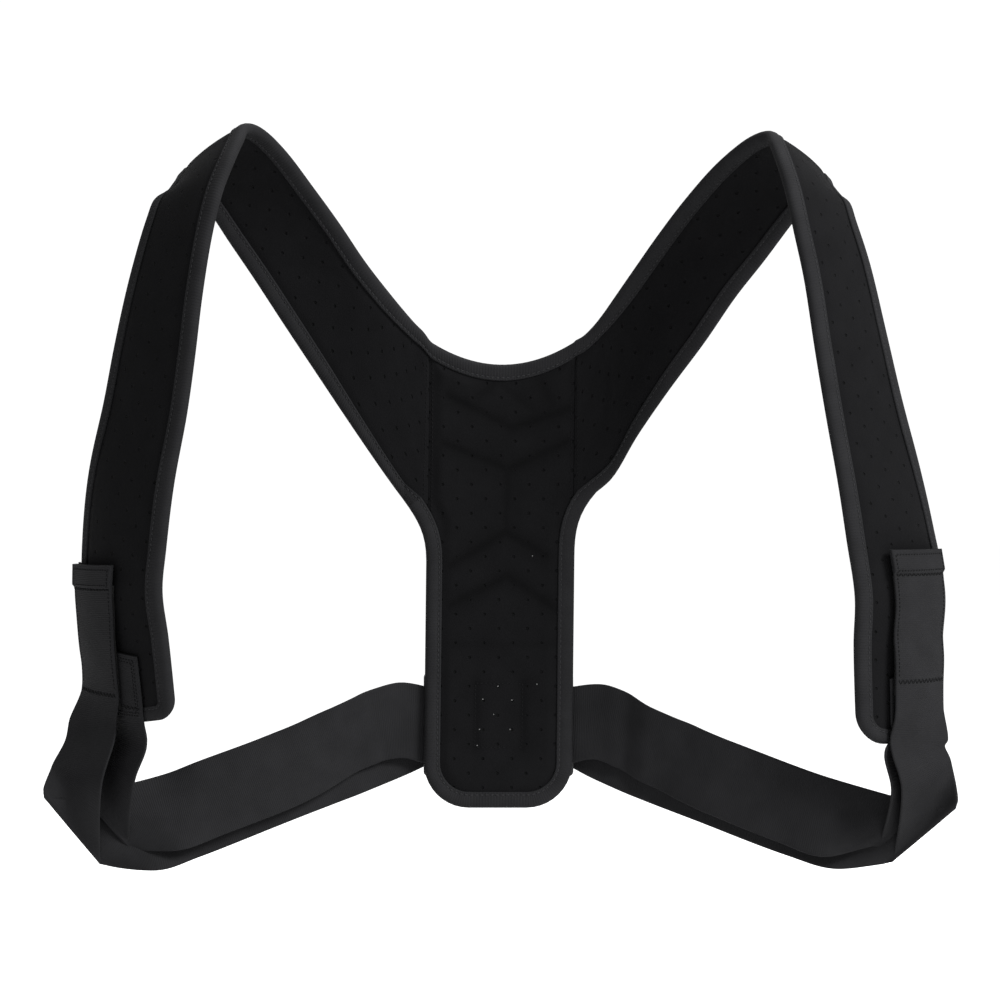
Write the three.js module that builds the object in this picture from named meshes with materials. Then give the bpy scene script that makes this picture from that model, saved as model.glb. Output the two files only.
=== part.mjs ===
// Posture corrector: a soft upper-back brace, standing in the form it has when it is worn.
// Millimetres, +Z up. The wearer faces -Y, and the origin is on the panel's inner face.
// "Left" is the -X side.

import * as THREE from 'three';

// Overall form
const HALF_SPAN = 286;          // middle to the outer turn of a band
const CREST_RISE = 294;         // origin to the top of a shoulder strap
const FRONT_DROP = 390;         // top of a strap down to its tip
const FRONT_REACH = 130;        // panel to the front edge of a strap
const BAND_DROP = 178;          // origin down to the lowest edge of a band
const BACK_BOW = 6;             // how far the panel's ends lean in over the curve of the back

// Spine panel
const PANEL_WIDTH = 98;
const PANEL_LENGTH = 292;
const PANEL_THICKNESS = 6;
const NECKLINE_DIP = 16;
const PANEL_CORNER = 30;
const PANEL_SLANT = 3.2;        // sideways lean from the top of the panel to its bottom
const QUILT_DEPTH = 1;
const QUILT_PUFF = 0.5;
const QUILT_WIDTH = 5;

// Shoulder straps
const STRAP_WIDTH = 68;
const STRAP_THICKNESS = 4;
const STRAP_CUP = 3.2;          // rise of the middle of a strap over the line between its edges
const TIP_CUP = 7;              // the same at the tip, where it wraps the side of the chest
const TIP_CORNER = { left: 13, right: 20 };

// Edge binding, a tape folded over every edge
const TAPE_THICKNESS = 0.9;
const TAPE_LEG = 10.5;
const ARMPIT_REACH = 20;        // height of the rounded corner between strap and panel
const PAD_INSET = 2.2;          // edge of a strap's pad, in from the fold of the tape

// Elastic bands
const BAND_WIDTH = 50;
const BAND_THICKNESS = 1.6;
const SEWN_LENGTH = 50;         // inner run lying on the strap
const SEWN_SHIFT = 5;           // inner run, off the middle of the strap
const RUN_OFF = 4;              // last section of a run on its strap, short of the strap's tip
const HEM_LENGTH = 15;

// Hook patches under the tabs
const PATCH_LENGTH = 80;
const PATCH_WIDTH = 46;
const PATCH_THICKNESS = 1.4;

// Rings behind the panel, and the webbing that holds them
const RING_DROP = 92;
const RING_INSET = 1;           // outer bar, in from the panel's edge
const RING_REACH = 14;          // bar to bar
const RING_SLOT = 62;
const RING_BAR = 3.2;
const WEBBING_WIDTH = 44;
const WEBBING_THICKNESS = 1.5;

// Clearances
const GAP = 0.3;
const BAND_GAP = 0.7;

// Sampling
const STEP = 18;
const TURN = 24;                // degrees of turn from row to row of a band
const CORNER_ANGLES = [18, 36, 54, 72, 90].map(THREE.MathUtils.degToRad);

const EDGE_INSET = TAPE_THICKNESS + GAP;
const PANEL_HALF = PANEL_WIDTH / 2;
const PANEL_MIDDLE = PANEL_THICKNESS / 2;
const PANEL_BOTTOM = -PANEL_LENGTH / 2;
const SEAM_TOP = PANEL_LENGTH / 2 + NECKLINE_DIP;

// Back run of a strap, from the seam to the crest. Each row is a section: out and up place its
// neck edge between the seam and the full span and crest, fore is its share of the reach, and
// swing and turn (degrees) point from the neck edge to the arm edge, wide widths away.
const BACK_ROWS = {
  left: [
    { out: 0.000, up: 0.000, fore: 0.00, swing: 90, turn: 0, wide: 1.84 },
    { out: 0.017, up: 0.042, fore: 0.00, swing: 86, turn: 0, wide: 1.71 },
    { out: 0.039, up: 0.082, fore: 0.00, swing: 81, turn: 0, wide: 1.54 },
    { out: 0.069, up: 0.146, fore: 0.00, swing: 69, turn: 0, wide: 1.27 },
    { out: 0.105, up: 0.229, fore: 0.00, swing: 51, turn: 2, wide: 1.07 },
    { out: 0.167, up: 0.380, fore: 0.02, swing: 34, turn: 6, wide: 1.00 },
    { out: 0.237, up: 0.567, fore: 0.07, swing: 31, turn: 10, wide: 1.00 },
    { out: 0.308, up: 0.740, fore: 0.15, swing: 30, turn: 15, wide: 1.00 },
    { out: 0.375, up: 0.894, fore: 0.28, swing: 32, turn: 22, wide: 1.00 },
    { out: 0.428, up: 0.978, fore: 0.41, swing: 33, turn: 29, wide: 1.00 },
    { out: 0.461, up: 0.980, fore: 0.54, swing: 32, turn: 35, wide: 1.00 },
  ],
  right: [
    { out: 0.000, up: 0.000, fore: 0.00, swing: 90, turn: 0, wide: 1.82 },
    { out: 0.020, up: 0.020, fore: 0.00, swing: 87, turn: 0, wide: 1.58 },
    { out: 0.047, up: 0.066, fore: 0.00, swing: 82, turn: 0, wide: 1.48 },
    { out: 0.075, up: 0.126, fore: 0.00, swing: 73, turn: 0, wide: 1.22 },
    { out: 0.105, up: 0.199, fore: 0.00, swing: 57, turn: 2, wide: 1.03 },
    { out: 0.149, up: 0.307, fore: 0.02, swing: 39, turn: 7, wide: 0.98 },
    { out: 0.224, up: 0.495, fore: 0.06, swing: 34, turn: 11, wide: 0.98 },
    { out: 0.298, up: 0.669, fore: 0.13, swing: 34, turn: 15, wide: 1.00 },
    { out: 0.382, up: 0.834, fore: 0.26, swing: 33, turn: 23, wide: 1.00 },
    { out: 0.455, up: 0.931, fore: 0.40, swing: 32, turn: 33, wide: 1.00 },
    { out: 0.499, up: 0.947, fore: 0.53, swing: 32, turn: 39, wide: 1.00 },
  ],
};

// Front run of a strap, from the crest to the tip. The columns are the same, with down as the
// share of the drop from the crest and out as the share of the full span.
const FRONT_ROWS = {
  left: [
    { out: 0.561, down: 0.032, fore: 0.67, swing: 29, turn: 38, wide: 1.00 },
    { out: 0.576, down: 0.070, fore: 0.79, swing: 22, turn: 42, wide: 1.00 },
    { out: 0.597, down: 0.120, fore: 0.87, swing: 3, turn: 47, wide: 1.00 },
    { out: 0.617, down: 0.188, fore: 0.93, swing: -15, turn: 47, wide: 1.00 },
    { out: 0.637, down: 0.285, fore: 0.98, swing: -14, turn: 44, wide: 1.04 },
    { out: 0.654, down: 0.386, fore: 1.00, swing: -12, turn: 43, wide: 1.11 },
    { out: 0.671, down: 0.470, fore: 1.00, swing: -10, turn: 43, wide: 1.15 },
    { out: 0.700, down: 0.580, fore: 0.98, swing: -8, turn: 44, wide: 1.21 },
    { out: 0.721, down: 0.686, fore: 0.93, swing: -4, turn: 46, wide: 1.24 },
    { out: 0.732, down: 0.754, fore: 0.88, swing: 1, turn: 48, wide: 1.24 },
    { out: 0.722, down: 0.830, fore: 0.82, swing: 6, turn: 49, wide: 1.24 },
    { out: 0.709, down: 0.958, fore: 0.72, swing: 8, turn: 50, wide: 1.24 },
  ],
  right: [
    { out: 0.590, down: 0.038, fore: 0.67, swing: 31, turn: 41, wide: 1.00 },
    { out: 0.602, down: 0.076, fore: 0.78, swing: 23, turn: 44, wide: 1.00 },
    { out: 0.615, down: 0.120, fore: 0.86, swing: 6, turn: 49, wide: 1.00 },
    { out: 0.632, down: 0.188, fore: 0.93, swing: -14, turn: 50, wide: 1.00 },
    { out: 0.652, down: 0.260, fore: 0.96, swing: -16, turn: 47, wide: 1.00 },
    { out: 0.674, down: 0.370, fore: 1.00, swing: -12, turn: 44, wide: 1.02 },
    { out: 0.697, down: 0.467, fore: 1.00, swing: -11, turn: 42, wide: 1.04 },
    { out: 0.725, down: 0.575, fore: 0.98, swing: -11, turn: 41, wide: 1.10 },
    { out: 0.747, down: 0.668, fore: 0.93, swing: -8, turn: 41, wide: 1.17 },
    { out: 0.770, down: 0.763, fore: 0.86, swing: -1, turn: 42, wide: 1.25 },
    { out: 0.771, down: 0.840, fore: 0.80, swing: 0, turn: 43, wide: 1.26 },
    { out: 0.783, down: 1.000, fore: 0.68, swing: 2, turn: 44, wide: 1.26 },
  ],
};

// Free run of a band, between the strap and the ring. Each row places the middle of the band by
// shares of the span, band drop and reach. Face is the way its outer side looks, in degrees
// round from straight ahead through the side to straight back, and tip how far that looks up.
// A fold row is the middle of the diagonal fold, where the outer side looks away from the fold.
const INNER_ROWS = {
  left: [
    { out: 0.832, down: 0.532, fore: 0.50, face: 51, tip: 0 },
    { out: 0.859, down: 0.625, fore: 0.49, face: 48, tip: 0 },
    { out: 0.882, down: 0.716, fore: 0.46, face: 46, tip: 0 },
    { out: 0.884, down: 0.829, fore: 0.42, fold: true },
    { out: 0.813, down: 0.855, fore: 0.37, face: 180, tip: -34 },
    { out: 0.737, down: 0.807, fore: 0.35, face: 172, tip: -16 },
    { out: 0.653, down: 0.760, fore: 0.31, face: 168, tip: -3 },
    { out: 0.455, down: 0.642, fore: 0.20, face: 166, tip: 5 },
    { out: 0.344, down: 0.554, fore: 0.09, face: 164, tip: 16 },
    { out: 0.231, down: 0.498, fore: -0.01, face: 172, tip: 2 },
  ],
  right: [
    { out: 0.909, down: 0.588, fore: 0.51, face: 44, tip: 0 },
    { out: 0.923, down: 0.671, fore: 0.49, face: 44, tip: 0 },
    { out: 0.934, down: 0.752, fore: 0.45, face: 44, tip: 0 },
    { out: 0.905, down: 0.852, fore: 0.41, fold: true },
    { out: 0.816, down: 0.859, fore: 0.37, face: 180, tip: -28 },
    { out: 0.741, down: 0.829, fore: 0.35, face: 172, tip: -12 },
    { out: 0.654, down: 0.786, fore: 0.30, face: 168, tip: -2 },
    { out: 0.455, down: 0.664, fore: 0.20, face: 166, tip: 4 },
    { out: 0.344, down: 0.587, fore: 0.10, face: 164, tip: 12 },
    { out: 0.231, down: 0.505, fore: -0.01, face: 172, tip: 2 },
  ],
};
const OUTER_ROWS = {
  left: [
    { out: 0.910, down: 0.541, fore: 0.46, face: 54, tip: 0 },
    { out: 0.939, down: 0.661, fore: 0.49, face: 48, tip: 0 },
    { out: 0.956, down: 0.743, fore: 0.49, face: 45, tip: 0 },
    { out: 0.944, down: 0.864, fore: 0.43, fold: true },
    { out: 0.862, down: 0.918, fore: 0.35, face: 180, tip: -38 },
    { out: 0.783, down: 0.886, fore: 0.31, face: 174, tip: -24 },
    { out: 0.707, down: 0.843, fore: 0.26, face: 168, tip: -8 },
    { out: 0.480, down: 0.709, fore: 0.13, face: 168, tip: 0 },
    { out: 0.346, down: 0.634, fore: 0.00, face: 170, tip: 0 },
    { out: 0.232, down: 0.562, fore: -0.08, face: 176, tip: 0 },
  ],
  right: [
    { out: 0.932, down: 0.570, fore: 0.57, face: 43, tip: 0 },
    { out: 0.955, down: 0.653, fore: 0.55, face: 45, tip: 0 },
    { out: 0.975, down: 0.741, fore: 0.51, face: 46, tip: 0 },
    { out: 0.959, down: 0.885, fore: 0.43, fold: true },
    { out: 0.864, down: 0.925, fore: 0.31, face: 180, tip: -36 },
    { out: 0.768, down: 0.883, fore: 0.26, face: 172, tip: -20 },
    { out: 0.675, down: 0.839, fore: 0.23, face: 168, tip: -6 },
    { out: 0.485, down: 0.732, fore: 0.12, face: 168, tip: 0 },
    { out: 0.323, down: 0.638, fore: -0.00, face: 170, tip: 0 },
    { out: 0.232, down: 0.576, fore: -0.08, face: 176, tip: 0 },
  ],
};

// Tab of the outer run: height of its top edge above the strap's tip, and how far its middle
// is off the middle of the strap at the tip and at that edge
const TAB_RISE = { left: 102, right: 122 };
const TAB_SHIFT = {
  left: { tip: 24, edge: 17 },
  right: { tip: 3, edge: 8 },
};

// Quilting grooves across the panel, top to bottom: heights at the middle and at the sides as
// shares of the panel's length
const QUILT_ROWS = [
  { middle: 0.356, sides: 0.420 },
  { middle: 0.262, sides: 0.325 },
  { middle: 0.122, sides: 0.040 },
  { middle: 0.022, sides: -0.058 },
  { middle: -0.133, sides: -0.133 },
];

const point = (x, y, z) => new THREE.Vector3(x, y, z);
const radians = THREE.MathUtils.degToRad;
const clamp = THREE.MathUtils.clamp;

function smoothShare(value, start, end) {
  return THREE.MathUtils.smoothstep(value, start, end);
}

// Sideways lean of the panel at height z
function slant(z) {
  return PANEL_SLANT * z / PANEL_LENGTH;
}

// How far the curve of the back carries a point forward at height z
function bow(z) {
  const half = PANEL_LENGTH / 2;
  const beyond = Math.max(Math.abs(z) - half, 0);
  const within = Math.min(Math.abs(z), half);
  return BACK_BOW * (within / half) ** 2 + beyond * 2 * BACK_BOW / half;
}

// Closed solid from a list of rings, each a list of points, joined ring to ring. An open row of
// rings is capped at both ends.
function ringSolid(rings, closed) {
  const size = rings[0].length;
  const positions = [];
  for (const ring of rings) {
    for (const p of ring) {
      positions.push(p.x, p.y - bow(p.z), p.z);
    }
  }
  const index = [];
  const spans = closed ? rings.length : rings.length - 1;
  for (let i = 0; i < spans; i += 1) {
    const here = i * size;
    const next = ((i + 1) % rings.length) * size;
    for (let j = 0; j < size; j += 1) {
      const k = (j + 1) % size;
      index.push(here + j, next + j, next + k);
      index.push(here + j, next + k, here + k);
    }
  }
  if (!closed) {
    const half = size / 2;
    const last = (rings.length - 1) * size;
    for (let j = 0; j < half - 1; j += 1) {
      const mirror = size - 1 - j;
      index.push(j, j + 1, mirror - 1);
      index.push(j, mirror - 1, mirror);
      index.push(last + j, last + mirror - 1, last + j + 1);
      index.push(last + j, last + mirror, last + mirror - 1);
    }
  }
  return outwardGeometry(positions, index);
}

// Indexed geometry whose faces point out
function outwardGeometry(positions, index) {
  let volume = 0;
  const corner = (i) => point(positions[3 * i], positions[3 * i + 1], positions[3 * i + 2]);
  for (let f = 0; f < index.length; f += 3) {
    volume += corner(index[f]).dot(corner(index[f + 1]).cross(corner(index[f + 2])));
  }
  if (volume < 0) {
    index.reverse();
  }
  const geometry = new THREE.BufferGeometry();
  geometry.setAttribute('position', new THREE.Float32BufferAttribute(positions, 3));
  geometry.setIndex(index);
  geometry.computeVertexNormals();
  return geometry;
}

// Solid sheet from rows of { points, normals, outer, inner }: outer and inner are how far the
// two faces stand off the points along the normals
function sheetSolid(rows) {
  return ringSolid(rows.map(sheetRing), false);
}

function sheetRing(row) {
  const offset = (list, sign) => row.points.map((p, j) => (
    p.clone().addScaledVector(row.normals[j], sign * list[j])));
  return [...offset(row.outer, 1), ...offset(row.inner, -1).reverse()];
}

// Shoulder strap as a surface: place(length, across) in millimetres from the seam and from the
// neck edge
class Strap {
  constructor(side) {
    this.sign = side === 'left' ? -1 : 1;
    this.tipCorner = TIP_CORNER[side];
    const necks = [];
    const arms = [];
    const seam = PANEL_HALF - EDGE_INSET + GAP;
    for (const row of BACK_ROWS[side]) {
      const x = seam + row.out * (HALF_SPAN - seam);
      const z = SEAM_TOP + row.up * (CREST_RISE - SEAM_TOP);
      this.addSection(necks, arms, row, x, z);
    }
    for (const row of FRONT_ROWS[side]) {
      this.addSection(necks, arms, row, row.out * HALF_SPAN, CREST_RISE - row.down * FRONT_DROP);
    }
    this.neck = new THREE.CatmullRomCurve3(necks, false, 'centripetal');
    this.arm = new THREE.CatmullRomCurve3(arms, false, 'centripetal');
    this.measure();
  }

  addSection(necks, arms, row, x, z) {
    const neck = point(this.sign * x, PANEL_MIDDLE - row.fore * FRONT_REACH, z);
    const swing = radians(row.swing);
    const turn = radians(row.turn);
    const across = point(
      this.sign * Math.cos(swing) * Math.cos(turn),
      Math.sin(turn),
      -Math.sin(swing) * Math.cos(turn),
    );
    const arm = neck.clone().addScaledVector(across, STRAP_WIDTH * row.wide);
    const share = 1 - smoothShare(row.out, 0, 0.2);
    neck.x += share * slant(neck.z);
    arm.x += share * slant(arm.z);
    necks.push(neck);
    arms.push(arm);
  }

  // Table of middle-line lengths against the curves' own parameter
  measure() {
    const count = 400;
    this.lengths = [0];
    let last = this.middle(0);
    for (let i = 1; i <= count; i += 1) {
      const here = this.middle(i / count);
      this.lengths.push(this.lengths[i - 1] + here.distanceTo(last));
      last = here;
    }
    this.total = this.lengths[count];
  }

  middle(t) {
    return this.neck.getPoint(t).add(this.arm.getPoint(t)).multiplyScalar(0.5);
  }

  parameter(length) {
    const count = this.lengths.length - 1;
    const wanted = clamp(length, 0, this.total);
    let i = 1;
    while (i < count && this.lengths[i] < wanted) {
      i += 1;
    }
    const share = (wanted - this.lengths[i - 1]) / (this.lengths[i] - this.lengths[i - 1]);
    return (i - 1 + share) / count;
  }

  width(length) {
    const t = this.parameter(length);
    return this.neck.getPoint(t).distanceTo(this.arm.getPoint(t));
  }

  // The strap is flat at the seam and cupped most at the tip
  cup(length) {
    const rise = STRAP_CUP * smoothShare(length, STRAP_WIDTH, 2 * STRAP_WIDTH);
    const tipShare = smoothShare(length, this.total - 3 * STRAP_WIDTH, this.total - 2 * STRAP_WIDTH);
    return rise + (TIP_CUP - STRAP_CUP) * tipShare;
  }

  // Point and outward normal at a length from the seam and a distance from the neck edge
  place(length, across) {
    const t = this.parameter(length);
    const neck = this.neck.getPoint(t);
    const arm = this.arm.getPoint(t);
    const share = across / neck.distanceTo(arm);
    const chord = arm.clone().sub(neck);
    const before = this.middle(Math.max(t - 0.004, 0));
    const along = this.middle(Math.min(t + 0.004, 1)).sub(before);
    const normal = chord.clone().cross(along).multiplyScalar(-this.sign).normalize();
    const cup = this.cup(length);
    const place = neck.lerp(arm, share).addScaledVector(normal, 4 * cup * share * (1 - share));
    const slope = 4 * cup * (1 - 2 * share) / chord.length();
    normal.addScaledVector(chord.normalize(), -slope).normalize();
    return { place, normal };
  }
}

function evenSteps(start, end, step) {
  const count = Math.max(Math.round(Math.abs(end - start) / step), 1);
  return Array.from({ length: count + 1 }, (_, i) => start + (end - start) * i / count);
}

// Lengths of a strap's sections, from the seam to where its rounded tip starts
function plainLengths(strap) {
  return evenSteps(0, strap.total - strap.tipCorner, STEP);
}

// Sections of an outline with rounded corners: distance from the end, and inset from each side
function cornerSections(corner, edge) {
  const radius = corner - edge;
  return CORNER_ANGLES.map((angle) => ({
    distance: corner - radius * Math.sin(angle),
    inset: corner - radius * Math.cos(angle),
  }));
}

// The two straps are faceted as mirror images of each other, as the binding is
function strapSolid(strap) {
  const half = STRAP_THICKNESS / 2;
  const section = (length, inset, armInset = inset) => {
    const width = strap.width(length);
    const seam = inset + TAPE_LEG - PAD_INSET;
    const inside = evenSteps(seam, width - seam, (width - 2 * seam) / 4);
    const columns = [inset, ...inside, width - armInset];
    if (strap.sign < 0) {
      columns.reverse();
    }
    const places = columns.map((across) => strap.place(length, across));
    return {
      points: places.map((p) => p.place),
      normals: places.map((p) => p.normal),
      outer: places.map(() => half),
      inner: places.map(() => half),
    };
  };
  return sheetSolid([
    ...plainLengths(strap).map((length, i) => (
      section(length, PAD_INSET, i === 0 ? 2 * PAD_INSET : PAD_INSET))),
    ...cornerSections(strap.tipCorner, PAD_INSET)
      .map(({ distance, inset }) => section(strap.total - distance, inset)),
  ]);
}

// Point on the panel's middle surface
function panelPoint(x, z) {
  return point(x + slant(z), PANEL_MIDDLE, z);
}

function necklineHeight(x) {
  return PANEL_LENGTH / 2 + NECKLINE_DIP * (x / PANEL_HALF) ** 2;
}

// How far a point is inside the panel's outline, which has rounded bottom corners
function panelInset(x, z) {
  const side = PANEL_HALF - Math.abs(x);
  const foot = z - PANEL_BOTTOM;
  if (side < PANEL_CORNER && foot < PANEL_CORNER) {
    return PANEL_CORNER - Math.hypot(PANEL_CORNER - side, PANEL_CORNER - foot);
  }
  return Math.min(side, foot, necklineHeight(x) - z);
}

// Columns of the panel, close together beside the sewn lines, as shares of its half width
const PANEL_COLUMNS = [-1, -0.82, -0.6, -0.36, -0.3, -0.07, 0, 0.07, 0.3, 0.36, 0.6, 0.82, 1];

// Rows of the panel from the neckline down: heights at the middle and at the sides, half the
// width there, and how deep the inner face lies
function panelRows() {
  const half = PANEL_HALF - EDGE_INSET;
  const groove = QUILT_WIDTH / 2;
  const rows = [];
  const addRow = (middle, sides, depth) => rows.push({ middle, sides, depth, half });
  for (const drop of [EDGE_INSET, TAPE_LEG + GAP]) {
    addRow(PANEL_LENGTH / 2 - drop, necklineHeight(half) - drop, 0);
  }
  let above = rows[1];
  for (const quilt of QUILT_ROWS) {
    const middle = quilt.middle * PANEL_LENGTH;
    const sides = quilt.sides * PANEL_LENGTH;
    addRow((above.middle + middle) / 2, (above.sides + sides) / 2, -QUILT_PUFF);
    addRow(middle + groove, sides + groove, -QUILT_PUFF / 2);
    addRow(middle, sides, QUILT_DEPTH);
    addRow(middle - groove, sides - groove, -QUILT_PUFF / 2);
    above = rows[rows.length - 1];
  }
  for (const z of evenSteps(above.middle, PANEL_BOTTOM + PANEL_CORNER, STEP).slice(1)) {
    addRow(z, z, -QUILT_PUFF);
  }
  for (const { distance, inset } of cornerSections(PANEL_CORNER, EDGE_INSET)) {
    const z = PANEL_BOTTOM + distance;
    rows.push({ middle: z, sides: z, depth: 0, half: PANEL_HALF - inset });
  }
  return rows;
}

function panelSolid() {
  const rows = panelRows();
  const edge = STRAP_THICKNESS / 2;
  return sheetSolid(rows.map((row, i) => {
    const shape = i < 2 ? (share) => share ** 2 : Math.abs;
    const places = PANEL_COLUMNS.map((share) => panelPoint(
      share * row.half,
      THREE.MathUtils.lerp(row.middle, row.sides, shape(share)),
    ));
    const crown = places.map((place, j) => smoothShare(
      panelInset(PANEL_COLUMNS[j] * row.half, place.z),
      TAPE_LEG,
      TAPE_LEG * 2,
    ));
    return {
      points: places,
      normals: places.map(() => point(0, -1, 0)),
      outer: crown.map((c) => edge + c * (PANEL_MIDDLE - edge - row.depth)),
      inner: crown.map((c) => edge + c * (PANEL_MIDDLE - edge)),
    };
  }));
}

// Frames on an outline: at(inset) is the point and normal that far in from the edge
function panelFrame(x, z, inX, inZ) {
  return {
    at: (inset) => ({
      place: panelPoint(x + inset * inX, z + inset * inZ),
      normal: point(0, 1, 0),
    }),
  };
}

// Outline of a strap from the arm side at the armpit, round the tip, to the neck side
function strapFrames(strap) {
  const corner = strap.tipCorner;
  const turnStart = strap.total - corner;
  const lengths = plainLengths(strap);
  const armSide = (length, inset) => strap.place(length, strap.width(length) - inset);
  const armCorner = CORNER_ANGLES.map((angle) => ({
    at: (inset) => armSide(
      turnStart + (corner - inset) * Math.sin(angle),
      corner - (corner - inset) * Math.cos(angle),
    ),
  }));
  const neckCorner = CORNER_ANGLES.map((angle) => ({
    at: (inset) => strap.place(
      turnStart + (corner - inset) * Math.sin(angle),
      corner - (corner - inset) * Math.cos(angle),
    ),
  }));
  const flat = evenSteps(strap.width(turnStart) - corner, corner, STEP / 2).slice(1, -1);
  return [
    ...lengths.slice(1).map((length) => ({ at: (inset) => armSide(length, inset) })),
    ...armCorner,
    ...flat.map((across) => ({ at: (inset) => strap.place(strap.total - inset, across) })),
    ...neckCorner.reverse(),
    ...lengths.map((length) => ({ at: (inset) => strap.place(length, inset) })).reverse(),
  ];
}

// Rounded corner from the side of the panel out to the arm edge of a strap
function armpitFrames(strap) {
  const [, start, beyond] = plainLengths(strap).map((length) => strap.arm.getPoint(
    strap.parameter(length),
  ));
  const heading = start.clone().sub(beyond).normalize();
  const foot = panelPoint(strap.sign * PANEL_HALF, footHeight(strap));
  const pull = start.distanceTo(foot) * 0.4;
  const curve = new THREE.CubicBezierCurve3(
    foot,
    foot.clone().add(point(0, 0, pull)),
    start.clone().addScaledVector(heading, pull),
    start,
  );
  return [0, 0.25, 0.5, 0.75].map((t) => {
    const along = curve.getTangent(t);
    const edge = curve.getPoint(t);
    const inward = point(-strap.sign * along.z, 0, strap.sign * along.x).normalize();
    return {
      at: (inset) => ({
        place: edge.clone().addScaledVector(inward, inset),
        normal: point(0, 1, 0),
      }),
    };
  });
}

// Height at which the side of the panel starts to round into the armpit
function footHeight(strap) {
  return strap.arm.getPoint(0).z - ARMPIT_REACH;
}

// Side of the panel from the armpit down, and its rounded bottom corner
function panelSideFrames(strap) {
  const top = footHeight(strap);
  const turnStart = PANEL_BOTTOM + PANEL_CORNER;
  const corner = CORNER_ANGLES.slice(0, -1).map((angle) => panelFrame(
    strap.sign * (PANEL_HALF - PANEL_CORNER + PANEL_CORNER * Math.cos(angle)),
    turnStart - PANEL_CORNER * Math.sin(angle),
    -strap.sign * Math.cos(angle),
    Math.sin(angle),
  ));
  return [
    ...evenSteps(top, turnStart, STEP).slice(1)
      .map((z) => panelFrame(strap.sign * PANEL_HALF, z, -strap.sign, 0)),
    ...corner,
  ];
}

// Binding: one folded tape, in a closed loop round the whole outline
function bindingSolid(straps) {
  const neckline = PANEL_COLUMNS.slice(1, -1)
    .map((share) => share * (PANEL_HALF - EDGE_INSET))
    .map((x) => panelFrame(x, necklineHeight(x), 0, -1));
  const flat = PANEL_HALF - PANEL_CORNER;
  const frames = [
    ...strapFrames(straps.left),
    ...neckline,
    ...strapFrames(straps.right).reverse(),
    ...armpitFrames(straps.right).reverse(),
    ...panelSideFrames(straps.right),
    ...evenSteps(flat, -flat, STEP).map((x) => panelFrame(x, PANEL_BOTTOM, 0, 1)),
    ...panelSideFrames(straps.left).reverse(),
    ...armpitFrames(straps.left),
  ];
  return ringSolid(frames.map(tapeRing), true);
}

// Section of the folded tape: out along one leg and back inside the other
function tapeRing(frame) {
  const inner = STRAP_THICKNESS / 2 + GAP;
  const outer = inner + TAPE_THICKNESS;
  const fold = inner - GAP;
  const profile = [
    [TAPE_LEG, outer],
    [TAPE_THICKNESS, outer],
    [0, fold],
    [0, -fold],
    [TAPE_THICKNESS, -outer],
    [TAPE_LEG, -outer],
    [TAPE_LEG, -inner],
    [TAPE_THICKNESS, -inner],
    [TAPE_THICKNESS, inner],
    [TAPE_LEG, inner],
  ];
  return profile.map(([inset, lift]) => {
    const { place, normal } = frame.at(inset);
    return place.addScaledVector(normal, lift);
  });
}

// Stations of the free run of a band: the middle and the way the outer side looks
function freeStations(sign, rows) {
  const middles = rows.map((row) => point(
    sign * row.out * HALF_SPAN,
    PANEL_MIDDLE - row.fore * FRONT_REACH,
    -row.down * BAND_DROP,
  ));
  return rows.map((row, i) => ({
    middle: middles[i],
    normal: row.fold ? foldNormal(middles, i) : facing(sign, row.face, row.tip),
    cup: 0,
  }));
}

function facing(sign, faceDegrees, tipDegrees) {
  const face = radians(faceDegrees);
  const tip = radians(tipDegrees);
  return point(
    sign * Math.sin(face) * Math.cos(tip),
    -Math.cos(face) * Math.cos(tip),
    Math.sin(tip),
  );
}

function foldNormal(middles, i) {
  const between = middles[i - 1].clone().add(middles[i + 1]).multiplyScalar(0.5);
  return middles[i].clone().sub(between).normalize();
}

// Part of a band that lies on a strap, at a height over the strap's middle surface
function strapStation(strap, length, shift, lift) {
  const { place, normal } = strap.place(length, strap.width(length) / 2 + shift);
  return {
    middle: place.addScaledVector(normal, lift),
    normal,
    cup: strap.cup(length) * (BAND_WIDTH / strap.width(length)) ** 2,
  };
}

const BINDING_TOP = STRAP_THICKNESS / 2 + GAP + TAPE_THICKNESS;
const SEWN_LIFT = BINDING_TOP + BAND_GAP + BAND_THICKNESS / 2;
const PATCH_LIFT = BINDING_TOP + BAND_GAP + PATCH_THICKNESS / 2;
const TAB_LIFT = PATCH_LIFT + PATCH_THICKNESS / 2 + BAND_GAP + BAND_THICKNESS / 2;

// Lift of what lies over the sewn run: a slope before it, and its full thickness over it
function overSewn(strap, length) {
  const start = strap.total - SEWN_LENGTH;
  const rise = BAND_THICKNESS + BAND_GAP;
  return rise * smoothShare(length, start - HEM_LENGTH * 2, start - HEM_LENGTH / 2);
}

// Part of a strap that the tab or its hook patch lies on
function tabStation(strap, side, length, lift) {
  const shift = TAB_SHIFT[side];
  const share = (strap.total - length) / TAB_RISE[side];
  const across = THREE.MathUtils.lerp(shift.tip, shift.edge, share);
  return strapStation(strap, length, across, lift + overSewn(strap, length));
}

// A station past the ring, where the band's first outer side looks in
function turnedIn(station) {
  return { middle: station.middle, normal: station.normal.clone().negate(), cup: -station.cup };
}

// A band's stations from the sewn end, down to the ring and back up to the tab
function bandStations(strap, side) {
  const low = strap.total - RUN_OFF;
  const sewn = evenSteps(strap.total - SEWN_LENGTH, low, STEP)
    .map((length) => strapStation(strap, length, SEWN_SHIFT, SEWN_LIFT));
  const tab = evenSteps(strap.total - TAB_RISE[side], low, STEP)
    .map((length) => tabStation(strap, side, length, TAB_LIFT));
  const back = [...tab, ...freeStations(strap.sign, OUTER_ROWS[side])].reverse();
  return [
    ...sewn,
    ...freeStations(strap.sign, INNER_ROWS[side]),
    ...bightStations(strap.sign),
    ...back.map(turnedIn),
  ];
}

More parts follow.
